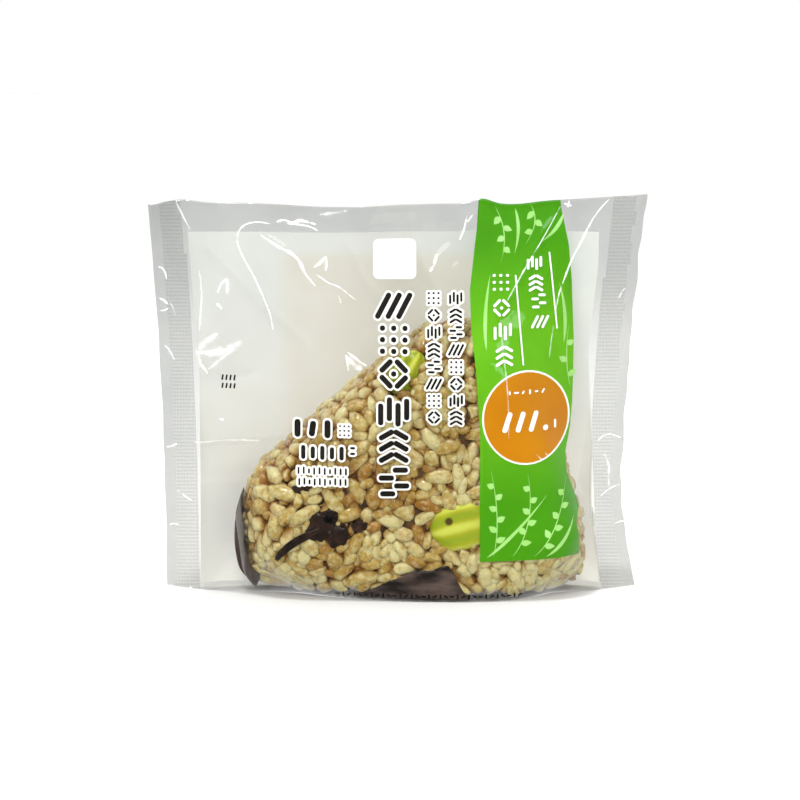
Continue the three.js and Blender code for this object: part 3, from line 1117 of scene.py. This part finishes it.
# The rice fills the pack's two lower corners a little further than one round outline would.
FOOD_FEELERS = ball_feelers(BALL_CIRCLES + [(-27.2, 7.6, 7.6), (36.0, 7.4, 7.4)])


def food_distance(x, z):
    """As ball_distance, for the rice."""
    return max(x * nx + z * nz - reach for nx, nz, reach in FOOD_FEELERS)


def ball_surface(x, z):
    """Half the bare ball's depth at a place."""
    return ball_half_depth(-ball_distance(x, z))


def cover_at(x, y, z):
    """How far a point lies under the rice ball's surface."""
    outside = 1 - clamp01(-food_distance(x, z) / BALL_ROUNDING)
    level = outside**ROUNDING_POWER + (abs(y) / BALL_HALF_DEPTH) ** ROUNDING_POWER
    return (1 - level ** (1 / ROUNDING_POWER)) * BALL_HALF_DEPTH


def inside_ball(point, lift):
    if point.z < lift:
        return False
    inset = -food_distance(point.x, point.z) - lift
    return inset > 0 and abs(point.y) < ball_half_depth(inset) - lift * 0.5


BALL_REACH = 60.0  # further from the ball's middle than any of its surface
HALVINGS = 14
BALL_DETAIL = 5


def ball_mesh(lift):
    """A ball of even faces, with each point moved out to the rice ball's surface."""
    bm = bmesh.new()
    bmesh.ops.create_icosphere(bm, subdivisions=BALL_DETAIL, radius=1)
    for vertex in bm.verts:
        way = Vector((vertex.co.x * 1.6, vertex.co.y * 0.75, vertex.co.z)).normalized()
        low, high = 0.0, BALL_REACH
        for _ in range(HALVINGS):
            half = (low + high) / 2
            if inside_ball(BALL_MIDDLE + way * half, lift):
                low = half
            else:
                high = half
        vertex.co = BALL_MIDDLE + way * low
    bmesh.ops.recalc_face_normals(bm, faces=bm.faces)
    return bm


def grain_shape(kind, sides=8, rings=7):
    """One grain, 1 long and 1 wide: blunt at both ends and a little flattened. Barley is
    fatter, with a crease along one side."""
    bm = bmesh.new()
    bmesh.ops.create_uvsphere(bm, u_segments=sides, v_segments=rings, radius=0.5)
    for vertex in bm.verts:
        along = vertex.co.z * 2
        round_share = math.sqrt(max(1e-6, 1 - along * along))
        blunt = (1 - abs(along) ** 2.8) ** 0.45 if abs(along) < 1 else 0.0
        swell = blunt / round_share if abs(along) < 0.999 else 0.0
        vertex.co.x *= swell
        vertex.co.y *= swell * 0.88
        if kind == "barley":
            crease = math.exp(-((vertex.co.x / 0.16) ** 2)) * smooth(1 - abs(along))
            if vertex.co.y > 0:
                vertex.co.y -= 0.12 * crease
        else:
            vertex.co.x += 0.03 * (1 - along * along)
    mesh = bpy.data.meshes.new(kind + "_shape")
    bm.to_mesh(mesh)
    bm.free()
    return mesh


GRAIN_PASSES = [  # depth under the surface, how close, share of full size, share of the tries
    (0.0, 0.68, 1.0, 0.6), (0.3, 0.62, 0.84, 0.6), (0.5, 0.52, 0.62, 1.2), (1.8, 0.50, 1.0, 0.8),
]
STAINED_FROM = 0.42
GRAIN_LENGTHS = (0.86, 1.24)  # shortest and longest, as shares of the mean
GRAIN_WIDTHS = (0.86, 1.08)
GRAIN_LEAN = 0.3  # in radians, how far a grain usually points out of the surface
GRAIN_SINKS, GRAIN_SINKS_MOST = 0.45, 1.2  # how far one usually lies deeper than its pass, and the most
TONE_BARE, TONE_VARIES = 0.14, 0.22  # a grain's tone where there is no stain
TONE_OF_STAIN = 0.5
TONE_PER_SINK = 0.06
BACK_STAINS = 0.6  # how much of the stain reaches the back of the ball
LUMPS = 0.16  # how uneven a grain's width is
TAPER_MOST = 0.26
BEND_MOST = 0.08
PRESSED_REACH = (0.33, 0.45)  # of a flat place from the grain's middle
BARLEY_SHARE = 0.12
BARLEY_SIZE = (0.84, 1.12)  # its length and width, as shares of a rice grain's
TURNS_TRIED = 6
DARK_COVER = 3.9  # how far under the surface the rice is darkest, with seasoning and painted shade
CORE_DEPTH = 3.8  # from the surface of the grains to the plain core
PRESSED_SIDES = 5  # flat places on a grain, where its neighbours pressed on it
SWELL = 1.24  # how much wider each grain is than the room it has, so that they press together


class GrainPile:
    """Remembers the places taken by grains, so that they lie side by side."""

    CELL = 4.0

    def __init__(self):
        self.cells = {}

    def cell(self, point):
        return tuple(int(c // self.CELL) for c in point)

    def add(self, spheres):
        for point, radius in spheres:
            self.cells.setdefault(self.cell(point), []).append((point, radius))

    def fits(self, spheres, closeness):
        for point, radius in spheres:
            i, j, k = self.cell(point)
            for a in (i - 1, i, i + 1):
                for b in (j - 1, j, j + 1):
                    for c in (k - 1, k, k + 1):
                        for other, size in self.cells.get((a, b, c), ()):
                            if (point - other).length < closeness * (radius + size):
                                return False
        return True


def grain_spheres(middle, axis, length, width):
    reach = (length - width) / 2
    return [(middle + axis * reach * share, width / 2) for share in (-1, -0.33, 0.33, 1)]


def stain_at(x, z):
    """How much seasoning the rice has taken up at a place."""
    found = 0
    for at_x, at_z, radius, strength in STAINS:
        apart = (x - at_x) ** 2 + (z - at_z) ** 2
        found += strength * math.exp(-apart / (radius * radius))
    return min(1.0, found)


def obstacle_spheres():
    """What the grains keep clear of: the beans and the kelp clump."""
    found = []
    size = settings("filling").bean_length / MM
    for x, z, sunk, turn, share in BEANS:
        axis = Vector((math.cos(math.radians(turn)), 0, math.sin(math.radians(turn))))
        middle = Vector((x, -ball_surface(x, z) + sunk, z))
        for along in (-0.26, 0, 0.26):
            found.append((middle + axis * size * share * along, size * share * BEAN_ROOM))
    for x, z, wide, tall, sunk in KELP_LUMPS:
        place = Vector((x, -ball_surface(x, z) + sunk, z))
        found.append((place, KELP_ROOM * (wide + tall)))
    return found


def place_grains(rice):
    """Grains over the whole ball, from its surface inwards. Each is returned as its kind, middle,
    direction, way out of the ball, length, width and tone."""
    draw = random.Random(rice.seed)
    ball = ball_mesh(FOOD_LIFT)
    faces = [(face.calc_center_median(), face.normal.copy()) for face in ball.faces]
    areas = [face.calc_area() for face in ball.faces]
    ball.free()
    pile = GrainPile()
    pile.add(obstacle_spheres())
    grains = []
    for sink, closeness, size, tries in GRAIN_PASSES:
        for middle, outward in draw.choices(faces, weights=areas, k=round(rice.tries * tries)):
            barley = draw.random() < BARLEY_SHARE
            longer, wider = BARLEY_SIZE if barley else (1, 1)
            length = rice.grain_length / MM * draw.uniform(*GRAIN_LENGTHS) * longer * size
            width = rice.grain_width / MM * draw.uniform(*GRAIN_WIDTHS) * wider
            width *= mix(1, size, 0.6)
            lean = draw.gauss(0, GRAIN_LEAN)
            uneven = min(GRAIN_SINKS_MOST, abs(draw.gauss(0, GRAIN_SINKS)))
            side = outward.orthogonal().normalized()
            start = draw.uniform(0, 2 * math.pi)
            for attempt in range(TURNS_TRIED):
                turn = start + attempt * math.pi / TURNS_TRIED
                axis = (side * math.cos(turn) + outward.cross(side) * math.sin(turn)).normalized()
                axis = (axis * math.cos(lean) + outward * math.sin(lean)).normalized()
                depth = width / 2 + abs(math.sin(lean)) * (length - width) / 2 + sink + uneven
                centre = middle - outward * depth
                room = max(0.0, depth_near(centre.x, centre.z) - FOOD_LIFT - width / 2)
                centre.y = max(-room, min(room, centre.y))
                spheres = grain_spheres(centre, axis, length, width)
                if pile.fits(spheres, closeness):
                    pile.add(spheres)
                    stain = stain_at(centre.x, centre.z) * (1 if centre.y < 0 else BACK_STAINS)
                    bare = draw.gauss(TONE_BARE, TONE_VARIES)
                    tone = clamp01(TONE_OF_STAIN * stain + bare + TONE_PER_SINK * sink)
                    kind = "barley" if barley else "stained" if tone > STAINED_FROM else "rice"
                    grains.append((kind, centre, axis, outward, length, width, tone))
                    break
    return grains


def joined_grains(name, shape, grains, made, rice):
    """All grains of a kind as one mesh, with a tone for each grain and a depth for each point."""
    draw = random.Random(rice.seed + 1)
    corners = [vertex.co.copy() for vertex in shape.vertices]
    polygons = [tuple(polygon.vertices) for polygon in shape.polygons]
    points, faces, tones, depths = [], [], [], []
    for _, centre, axis, outward, length, width, tone in grains:
        across = axis.cross(outward).normalized()
        up = across.cross(axis)
        roll = Matrix.Rotation(draw.uniform(0, 2 * math.pi), 3, axis)
        across, up = roll @ across, roll @ up
        start = len(points)
        seed = Vector((draw.uniform(0, 90), draw.uniform(0, 90), draw.uniform(0, 90)))
        taper = draw.uniform(-TAPER_MOST, TAPER_MOST)
        bend = draw.uniform(-BEND_MOST, BEND_MOST)
        width *= SWELL
        pressed = []
        for _ in range(PRESSED_SIDES):
            way = Vector((draw.gauss(0, 1), draw.gauss(0, 1), draw.gauss(0, 0.9))).normalized()
            pressed.append((way, draw.uniform(*PRESSED_REACH)))
        for corner in corners:
            for way, reach in pressed:
                corner = corner - way * max(0.0, corner.dot(way) - reach)
            lump = 1.12 + LUMPS * noise.noise(seed + corner * 3.0) + taper * corner.z
            point = centre + axis * (corner.z * length * 1.06) + (
                across * (corner.x * lump + bend * (1 - 4 * corner.z**2)) + up * (corner.y * lump)
            ) * width
            limit = depth_near(point.x, point.z) - FOOD_LIFT
            point.y = max(-limit, min(limit, point.y))
            point.z = max(point.z, FOOD_LIFT * 0.5)
            points.append(point * MM)
            tones.append(tone)
            cover = min(cover_at(*point) - FOOD_LIFT, limit - abs(point.y), point.z + 1)
            depths.append(clamp01(cover / DARK_COVER))
        faces += [tuple(start + i for i in polygon) for polygon in polygons]
    mesh = bpy.data.meshes.new(name)
    mesh.from_pydata(points, [], faces)
    for attribute, values in (("tone", tones), ("depth", depths)):
        mesh.attributes.new(attribute, "FLOAT", "POINT").data.foreach_set("value", values)
    return finish_mesh(name, mesh, [made])


def rice_material(name, pale, stained):
    """Cooked short-grain rice: glossy and slightly see-through starch. Seasoning stains some of
    the grains and leaves flecks. The rice darkens with depth under the ball's surface, which makes
    the gaps between grains dark: partly seasoning that collects there, partly painted shade. The
    starch is milky in patches."""
    made, tree = new_material(name)
    place = object_place(tree)
    depth = attribute(tree, "depth")
    uneven = maths(tree, "MULTIPLY_ADD", clouds(tree, place, 1.5, 5, Roughness=0.7), 2.0, -0.95)
    amount = maths(tree, "ADD", attribute(tree, "tone"), uneven, clamped=True)
    body = ramp(tree, amount, (0.05, pale), (0.95, stained), (0.45, linear("#ab9047")))
    # Darker with depth under the surface: partly seasoning in the gaps, partly painted shade.
    stain = ramp(tree, depth, (0.14, WHITE), (0.80, linear("#402208")), (0.40, linear("#cb9d55")))
    stained_and_shaded = colours_mixed(tree, 1.0, body, stain, blend_type="MULTIPLY")
    bare = mapped(tree, cells(tree, place, 4.2), 0.05, 0.14)
    flecked = colours_mixed(tree, bare, linear("#6d4a1c"), stained_and_shaded)
    clean = maths(tree, "SUBTRACT", 1.0, depth, clamped=True)
    patches = mapped(tree, clouds(tree, place, 1.0, 3), 0.5, 0.68, 0.36)
    milky = maths(tree, "MULTIPLY", patches, clean)
    facets = cells(tree, place, 1.7, {"Smoothness": 0.35}, feature="SMOOTH_F1")
    pressed = bump(tree, facets, 0.7, 0.5)
    return with_surface(made, shader(tree, "Principled", {
        "Base Color": colours_mixed(tree, milky, flecked, linear("#ddd5ae")),
        "Roughness": 0.28, "IOR": 1.45,
        "Subsurface Weight": 0.45, "Subsurface Radius": (1.0, 0.75, 0.4),
        "Subsurface Scale": 1.1 * MM, "Coat Weight": 0.7, "Coat Roughness": 0.1,
        "Normal": bump(tree, clouds(tree, place, 0.8, 3), 0.6, 0.25, pressed),
    }))


def core_material(gap):
    """Rice deep in the ball, seen in the gaps: dark with seasoning and painted shade, paler where
    starch fills the gaps.
    """
    made, tree = new_material("packed_rice_core")
    blotch = clouds(tree, object_place(tree), 5, 4)
    tone = ramp(tree, blotch, (0.35, gap), (0.7, linear("#6b4b22")))
    return with_surface(made, shader(tree, "Principled", {"Base Color": tone, "Roughness": 0.6}))


class RICEPACK_OT_rice(bpy.types.Operator):
    """Make the pressed ball of rice and barley"""

    bl_idname = "ricepack.rice"
    bl_label = "Rice Ball"

    def execute(self, context):
        rice = settings("rice")
        grains = place_grains(rice)
        white = rice_material("cooked_rice", rice.pale, rice.stained)
        pearl = rice_material("cooked_barley", linear("#c9b987"), linear("#a07a38"))
        pieces = [("rice_grains", "rice", white), ("stained_rice_grains", "stained", white),
                  ("barley_grains", "barley", pearl)]
        for name, kind, made in pieces:
            chosen = [grain for grain in grains if grain[0] == kind]
            joined_grains(name, grain_shape(kind), chosen, made, rice)
        core = ball_mesh(FOOD_LIFT + CORE_DEPTH)
        finish_piece("rice_core", core, [core_material(rice.gap)])
        return {"FINISHED"}


# Edamame

BEAN_RIDGES = 7
BEAN_MARK = Vector((11.3, -16.6, 17.9))  # a dark spot where the bean hung in its pod


def keep_under_film(vertex):
    vertex.co.y = max(FOOD_LIFT - depth_near(vertex.co.x, vertex.co.z), vertex.co.y)


def build_bean(x, z, sunk, turn, share, length):
    """A bean with soft grooves along it, lying in the ball's front."""
    bm = bmesh.new()
    ridge = bm.verts.layers.float.new("ridge")
    bmesh.ops.create_uvsphere(bm, u_segments=70, v_segments=40, radius=0.5)
    size = length * share
    for vertex in bm.verts:
        along = vertex.co.z * 2
        angle = math.atan2(vertex.co.y, vertex.co.x)
        blunt = (1 - abs(along) ** 2.4) ** 0.45 if abs(along) < 1 else 0.0
        crest = 0.5 + 0.5 * math.cos(BEAN_RIDGES * (angle + math.pi / 2))
        vertex[ridge] = crest
        groove = 0.06 * (1 - crest) * smooth((1 - abs(along)) * 3)
        swell = 0.5 * blunt * (1 - groove) * (1 - 0.08 * along)
        vertex.co = (swell * math.cos(angle) * 0.70, swell * math.sin(angle) * 0.62, vertex.co.z)
    lie = Matrix.Rotation(math.radians(90 - turn), 4, "Y")
    middle = Matrix.Translation((x, -ball_surface(x, z) + sunk + FOOD_LIFT, z))
    bmesh.ops.transform(bm, matrix=middle @ lie @ Matrix.Scale(size, 4), verts=bm.verts)
    for vertex in bm.verts:
        keep_under_film(vertex)
    return bm


def bean_material(colour):
    """Boiled green soybean: waxy, painted yellower along its ridges as painted highlight and greener in
    the grooves as painted shade.
    """
    made, tree = new_material("boiled_edamame")
    place = object_place(tree)
    paler = maths(tree, "MULTIPLY_ADD", clouds(tree, place, 3, 3), 0.5, -0.25)
    share = maths(tree, "ADD", attribute(tree, "ridge"), paler, clamped=True)
    # Painted highlight along the ridges, painted shade in the grooves.
    tone = ramp(tree, share, (0.10, linear("#8fa016")), (0.95, linear("#c6cc52")), (0.5, colour))
    from_mark = node(tree, "ShaderNodeVectorMath", {
        0: place, 1: BEAN_MARK * MM,
    }, operation="DISTANCE")
    bare = mapped(tree, from_mark.outputs["Value"], 0.6 * MM, 1.1 * MM)
    return with_surface(made, shader(tree, "Principled", {
        "Base Color": colours_mixed(tree, bare, linear("#4f3a10"), tone),
        "Roughness": 0.33, "IOR": 1.45,
        "Subsurface Weight": 0.3, "Subsurface Radius": (1.0, 0.9, 0.25),
        "Subsurface Scale": 1.4 * MM,
    }))


class RICEPACK_OT_beans(bpy.types.Operator):
    """Make the edamame beans"""

    bl_idname = "ricepack.beans"
    bl_label = "Edamame"

    def execute(self, context):
        filling = settings("filling")
        made = bean_material(filling.bean)
        for i, bean in enumerate(BEANS):
            finish_piece(f"edamame_{i + 1}", build_bean(*bean, filling.bean_length / MM), [made])
        return {"FINISHED"}


# Kelp

def ribbon(bm, path, width, thickness, twist=0.0, steps=18):
    """A thin strip along a curve through four points, added to a mesh."""
    grid = bmesh.ops.create_grid(bm, x_segments=steps, y_segments=3, size=0.5)
    a, b, c, d = path
    for vertex in grid["verts"]:
        t, across = vertex.co.x + 0.5, vertex.co.y
        s = 1 - t
        place = a * s**3 + b * (3 * s * s * t) + c * (3 * s * t * t) + d * t**3
        ahead = ((b - a) * (s * s) + (c - b) * (2 * s * t) + (d - c) * (t * t)).normalized()
        level = ahead.cross(Vector((0, -1, 0))).normalized()
        side = Matrix.Rotation(twist * (t - 0.5), 3, ahead) @ level
        taper = 0.35 + 0.65 * math.sin(math.pi * clamp01(t * 0.94 + 0.03)) ** 0.5
        vertex.co = place + side * (across * width * taper)
    faces = list({face for vertex in grid["verts"] for face in vertex.link_faces})
    bmesh.ops.solidify(bm, geom=faces, thickness=thickness)


def kelp_material(name, colour, pale, drawn_out=(1.0, 1.0, 1.0)):
    """Salted kelp: leathery, wet and nearly black, with brown where it is thin. Its fibres draw
    the markings out one way."""
    made, tree = new_material(name)
    place = node(tree, "ShaderNodeMapping", {"Vector": object_place(tree), "Scale": drawn_out})
    cloud = clouds(tree, place.outputs[0], 3, 5)
    return with_surface(made, shader(tree, "Principled", {
        "Base Color": ramp(tree, cloud, (0.35, colour), (0.75, pale)),
        "Roughness": 0.34, "Normal": bump(tree, cloud, 0.5, 0.3),
    }))


def on_ball(x, z, sunk=0.0):
    """A point on the front of the rice ball, or under it."""
    return Vector((x, -(ball_surface(x, z) - FOOD_LIFT - sunk), z))


def build_clump():
    """Shreds of kelp in a hollow of the rice, with one strip that hangs out of it."""
    draw = random.Random(CLUMP_SEED)
    bm = bmesh.new()
    for x, z, wide, tall, sunk in KELP_LUMPS:
        knot = bmesh.ops.create_icosphere(bm, subdivisions=4, radius=1)
        middle = on_ball(x, z, sunk)
        for vertex in knot["verts"]:
            way = vertex.co.copy()
            rough = 1 + 0.35 * noise.noise(way * 1.9 + middle) + 0.16 * noise.noise(way * 6)
            vertex.co = middle + Vector((way.x * wide, way.y * 2.0, way.z * tall)) * rough
            keep_under_film(vertex)
    for _ in range(SHREDS):
        x = KELP_CLUMP.x + draw.gauss(0.8, 1.9)
        z = KELP_CLUMP.z + draw.gauss(0.2, 1.5)
        middle = Vector((x, 0, z))
        turn = draw.gauss(0.5, 0.8)
        reach = draw.uniform(1.8, 4.2)
        way = Vector((math.cos(turn), 0, math.sin(turn))) * reach
        path = []
        for share, sunk in ((-1, 2.0), (-0.4, 0.1), (0.4, 0.0), (1, 2.2)):
            spot = middle + way * share + Vector((draw.gauss(0, 0.5), 0, draw.gauss(0, 0.5)))
            path.append(on_ball(spot.x, spot.z, sunk + draw.uniform(0, 0.8)))
        ribbon(bm, path, draw.uniform(0.9, 1.7), 0.35, draw.uniform(-1.5, 1.5))
    loose = [on_ball(-26.4, 9.3, -0.4), on_ball(-24.2, 12.6, -0.6), on_ball(-21.0, 14.6, -0.6),
             on_ball(-16.6, 16.2, -0.3)]
    ribbon(bm, loose, 1.45, 0.4, 0.3)
    smear = [on_ball(-22.8, 24.9, 0.9), on_ball(-21.8, 25.3, 0.1), on_ball(-20.4, 24.6, 0.1),
             on_ball(-19.2, 24.4, 0.9)]
    ribbon(bm, smear, 1.3, 0.4, 0.6)
    return bm


EDGE_STRIP = [(-34.6, 22.0), (-35.8, 17.8), (-36.3, 13.4), (-36.1, 9.0), (-34.9, 4.6), (-31.4, 1.2)]
STRIP_SHOWS = 3.1  # how much of the strip is seen from the front
STRIP_FACES = Vector((-16.0, 14.0))  # the place (x, z) that the strip's width points to


def along_line(points, share):
    """A point that share of the way along a line of points, rounded between them."""
    at = share * (len(points) - 1)
    i = min(int(at), len(points) - 2)
    a, b = points[max(i - 1, 0)], points[i]
    c, d = points[i + 1], points[min(i + 2, len(points) - 1)]
    t = at - i
    found = []
    for p, q, r, s in zip(a, b, c, d):
        bend = (2 * p - 5 * q + 4 * r - s) * t * t + (3 * q - p - 3 * r + s) * t**3
        found.append(0.5 * (2 * q + (r - p) * t + bend))
    return Vector(found)


def thickened(bm, thickness):
    bmesh.ops.solidify(bm, geom=bm.faces[:], thickness=thickness)
    bmesh.ops.recalc_face_normals(bm, faces=bm.faces)
    return bm


def build_edge_strip():
    """A smooth strip of kelp that lies round the ball's lower left side."""
    bm = bmesh.new()
    grid = bmesh.ops.create_grid(bm, x_segments=36, y_segments=24, size=0.5)
    for vertex in grid["verts"]:
        along, across = vertex.co.x + 0.5, vertex.co.y + 0.5
        spot = along_line(EDGE_STRIP, along)
        inward = (STRIP_FACES - spot).normalized()
        thin = smooth(along / 0.35) ** 0.6 * mix(0.7, 1.25, along) * smooth((1 - along) / 0.12)
        ragged = 1 + 0.25 * noise.noise(Vector((along * 3.2, 3.0, 0)))
        x, z = spot + inward * (STRIP_SHOWS * thin * ragged * abs(1 - 2 * across))
        bulge = ball_half_depth(max(0.0, -food_distance(x, z))) + 0.3
        wavy = 0.2 * noise.noise(Vector((along * 5, across * 2, 0)))
        y = min(bulge, depth_near(x, z) - 0.45) + wavy
        vertex.co = (x, y if across > 0.5 else -y, max(z, 0.8))
    return thickened(bm, 0.5)


FOOT_LEFT = -9.0
FOOT_RIGHT = 15.6
FOOT_RISE = 6.6  # how far the sheet comes up the ball's front
FOOT_MARGIN = 0.4  # how far it may stand out of the ball


def build_foot_sheet():
    """A dark sheet under the rice that comes up over its lower front: partly kelp, partly painted
    shade under the ball.
    """
    bm = bmesh.new()
    grid = bmesh.ops.create_grid(bm, x_segments=40, y_segments=14, size=0.5)
    for vertex in grid["verts"]:
        along, up = vertex.co.x + 0.5, vertex.co.y + 0.5
        x = mix(FOOT_LEFT, FOOT_RIGHT, along)
        hill = FOOT_RISE * math.sin(math.pi / 2 * clamp01(along / 0.8)) ** 1.3
        ragged = 1 + 0.25 * noise.noise(Vector((x / 5.0, 4.0, 0.0)))
        z = mix(0.5, 1.0 + hill * ragged * smooth((1 - along) / 0.2), up)
        y = -(min(depth_near(x, z), ball_surface(x, z) + FOOT_MARGIN) - FOOD_LIFT + 0.25)
        y += 0.22 * noise.noise(Vector((x / 3, z / 2, 2.0)))
        vertex.co = (x, y, z)
    return thickened(bm, -0.5)


class RICEPACK_OT_kelp(bpy.types.Operator):
    """Make the salted kelp: shreds, the strip at the side, and the dark sheet at the foot, which is
    partly painted shade
    """

    bl_idname = "ricepack.kelp"
    bl_label = "Kelp"

    def execute(self, context):
        filling = settings("filling")
        shreds = kelp_material("salted_kelp_shreds", linear("#130a07"), filling.kelp)
        smooth_kelp = kelp_material(
            "smooth_kelp", filling.kelp_strip, linear("#5b4842"), (2.0, 1.0, 0.4),
        )
        # The foot sheet's dark colour is partly kelp, partly painted shade under the ball.
        kelp_sheet_and_shade = kelp_material(
            "kelp_and_shade_sheet", linear("#1b1311"), linear("#63524b"), (0.5, 1.0, 1.6),
        )
        finish_piece("kelp_shreds", build_clump(), [shreds])
        finish_piece("kelp_edge_strip", build_edge_strip(), [smooth_kelp])
        finish_piece("kelp_and_shade_foot_sheet", build_foot_sheet(), [kelp_sheet_and_shade])
        return {"FINISHED"}


# Studio

PIXELS = 800
PIXELS_PER_MM = 4.5
AIM = Vector((0.67, 0.0, 42.5))
LIGHTS = [  # name, kind, place, power, size or angle, and whether what shines mirrors it
    ("key", "SUN", (-0.2, -1.0, 0.62), 1.7, math.radians(40), False),
    ("fill", "SUN", (0.35, -1.0, 0.12), 0.5, math.radians(60), False),
    ("back_light", "SUN", (0.3, 0.9, 0.7), 2.0, math.radians(40), False),
    ("rice_highlight", "AREA", (-0.12, -0.20, 0.80), 4.0, 0.12, True),
    ("foot_fill", "AREA", (0.10, -0.60, 0.05), 1.3, 0.4, False),
    ("right_back", "AREA", (0.45, 0.50, 0.12), 2.4, 0.3, False),
    ("top_softbox", "AREA", (0.05, 0.4, 0.8), 1.2, 0.4, True),
]
GLINT_LIGHTS = [  # seen only in what shines: name, turn, height, width, tall
    ("overhead_panel", -10, 64, 0.80, 0.16),
    ("right_window", 44, 30, 0.10, 0.20),
]
FILM_LAYERS = 24  # how many clear layers the light may go through
FLOOR_RADIUS = 12
SENSOR = 36.0
GLINT_DISTANCE = 0.8
GLINT_BRIGHTNESS = 2.0


def add_light(name, kind, place, power, size):
    light = bpy.data.lights.new(name, kind)
    light.energy = power
    if kind == "SUN":
        light.angle = size
    else:
        light.size = size
    lamp = bpy.data.objects.new(name, light)
    lamp.location = place
    lamp.rotation_euler = (AIM * MM - Vector(place)).to_track_quat("-Z", "Y").to_euler()
    bpy.context.scene.collection.objects.link(lamp)
    return lamp


class RICEPACK_OT_studio(bpy.types.Operator):
    """Make the floor, the lights and the camera"""

    bl_idname = "ricepack.studio"
    bl_label = "Studio"

    def execute(self, context):
        studio = settings("studio")
        scene = context.scene
        scene.view_settings.view_transform = "Standard"
        scene.cycles.transparent_max_bounces = FILM_LAYERS
        bm = bmesh.new()
        bmesh.ops.create_circle(bm, cap_ends=True, segments=96, radius=FLOOR_RADIUS)
        mesh = bpy.data.meshes.new("floor")
        bm.to_mesh(mesh)
        bm.free()
        floor = bpy.data.objects.new("floor", mesh)
        scene.collection.objects.link(floor)
        floor.visible_glossy = False
        paint, tree = new_material("pale_floor")
        matt = shader(tree, "Principled", {
            "Base Color": linear("#cdcdcc"), "Roughness": 0.8, "Specular IOR Level": 0.1,
        })
        mesh.materials.append(with_surface(paint, matt))

        for name, kind, place, power, size, mirrored in LIGHTS:
            lamp = add_light(name, kind, place, power, size)
            lamp.visible_glossy = mirrored
        for name, turn, height, width, tall in GLINT_LIGHTS:
            a, b = math.radians(turn), math.radians(height)
            way = Vector((math.sin(a) * math.cos(b), -math.cos(a) * math.cos(b), math.sin(b)))
            power = GLINT_BRIGHTNESS * 4 * width * tall
            strip = add_light(name, "AREA", AIM * MM + way * GLINT_DISTANCE, power, width)
            strip.data.shape, strip.data.size_y = "RECTANGLE", tall
            strip.visible_diffuse = False

        world = bpy.data.worlds.new("studio_white")
        world.use_nodes = True
        tree = world.node_tree
        tree.nodes.clear()
        way = node(tree, "ShaderNodeTexCoord").outputs["Generated"]
        ahead = maths(tree, "MULTIPLY_ADD", axes_of(tree, way)["Y"], 0.5, 0.5)
        room = ramp(
            tree, ahead, (0.05, (0.05, 0.05, 0.05, 1)), (0.9, WHITE), (0.4, (0.18, 0.18, 0.18, 1)),
        )
        lit, mirrored, seen = [
            node(tree, "ShaderNodeBackground", {"Color": colour, "Strength": strength}).outputs[0]
            for colour, strength in ((WHITE, 1.05), (room, 1.0), (WHITE, studio.backdrop))
        ]
        path = node(tree, "ShaderNodeLightPath").outputs
        soft = shaders_mixed(tree, path["Is Glossy Ray"], lit, mirrored)
        both = shaders_mixed(tree, path["Is Camera Ray"], soft, seen)
        node(tree, "ShaderNodeOutputWorld", {"Surface": both})
        scene.world = world

        view = bpy.data.cameras.new("camera")
        view.sensor_width = SENSOR
        across = PIXELS / PIXELS_PER_MM * MM
        view.lens = SENSOR * studio.camera_distance / across
        camera = bpy.data.objects.new("camera", view)
        back = Vector((0, -math.cos(studio.camera_elevation), math.sin(studio.camera_elevation)))
        camera.location = AIM * MM + back * studio.camera_distance
        camera.rotation_euler = (-back).to_track_quat("-Z", "Y").to_euler()
        scene.collection.objects.link(camera)
        scene.camera = camera
        return {"FINISHED"}


class RICEPACK_PT_panel(bpy.types.Panel):
    """Lists the pieces of the rice ball pack"""

    bl_idname = "RICEPACK_PT_panel"
    bl_label = "Rice Ball Pack"
    bl_space_type = "VIEW_3D"
    bl_region_type = "UI"
    bl_category = "Rice Ball"

    def draw(self, context):
        for operator in OPERATORS:
            self.layout.operator(operator.bl_idname)
        for kind, group in GROUPS.items():
            box = self.layout.box()
            box.label(text=kind.title())
            for name in group.__annotations__:
                box.prop(settings(kind), name)


GROUPS = {
    "film": FilmSettings, "rice": RiceSettings, "filling": FillingSettings,
    "print": PrintSettings, "studio": StudioSettings,
}
OPERATORS = [
    RICEPACK_OT_studio, RICEPACK_OT_rice, RICEPACK_OT_beans, RICEPACK_OT_kelp,
    RICEPACK_OT_label, RICEPACK_OT_print, RICEPACK_OT_film,
]


def register():
    for kind, group in GROUPS.items():
        bpy.utils.register_class(group)
        setattr(bpy.types.Scene, "rice_pack_" + kind, PointerProperty(type=group))
    for operator in OPERATORS:
        bpy.utils.register_class(operator)
    bpy.utils.register_class(RICEPACK_PT_panel)


def unregister():
    bpy.utils.unregister_class(RICEPACK_PT_panel)
    for operator in reversed(OPERATORS):
        bpy.utils.unregister_class(operator)
    for kind, group in reversed(GROUPS.items()):
        delattr(bpy.types.Scene, "rice_pack_" + kind)
        bpy.utils.unregister_class(group)


def main():
    register()
    bpy.ops.ricepack.studio()
    bpy.ops.ricepack.rice()
    bpy.ops.ricepack.beans()
    bpy.ops.ricepack.kelp()
    bpy.ops.ricepack.label()
    bpy.ops.ricepack.print()
    bpy.ops.ricepack.film()


if __name__ == "__main__":
    main()
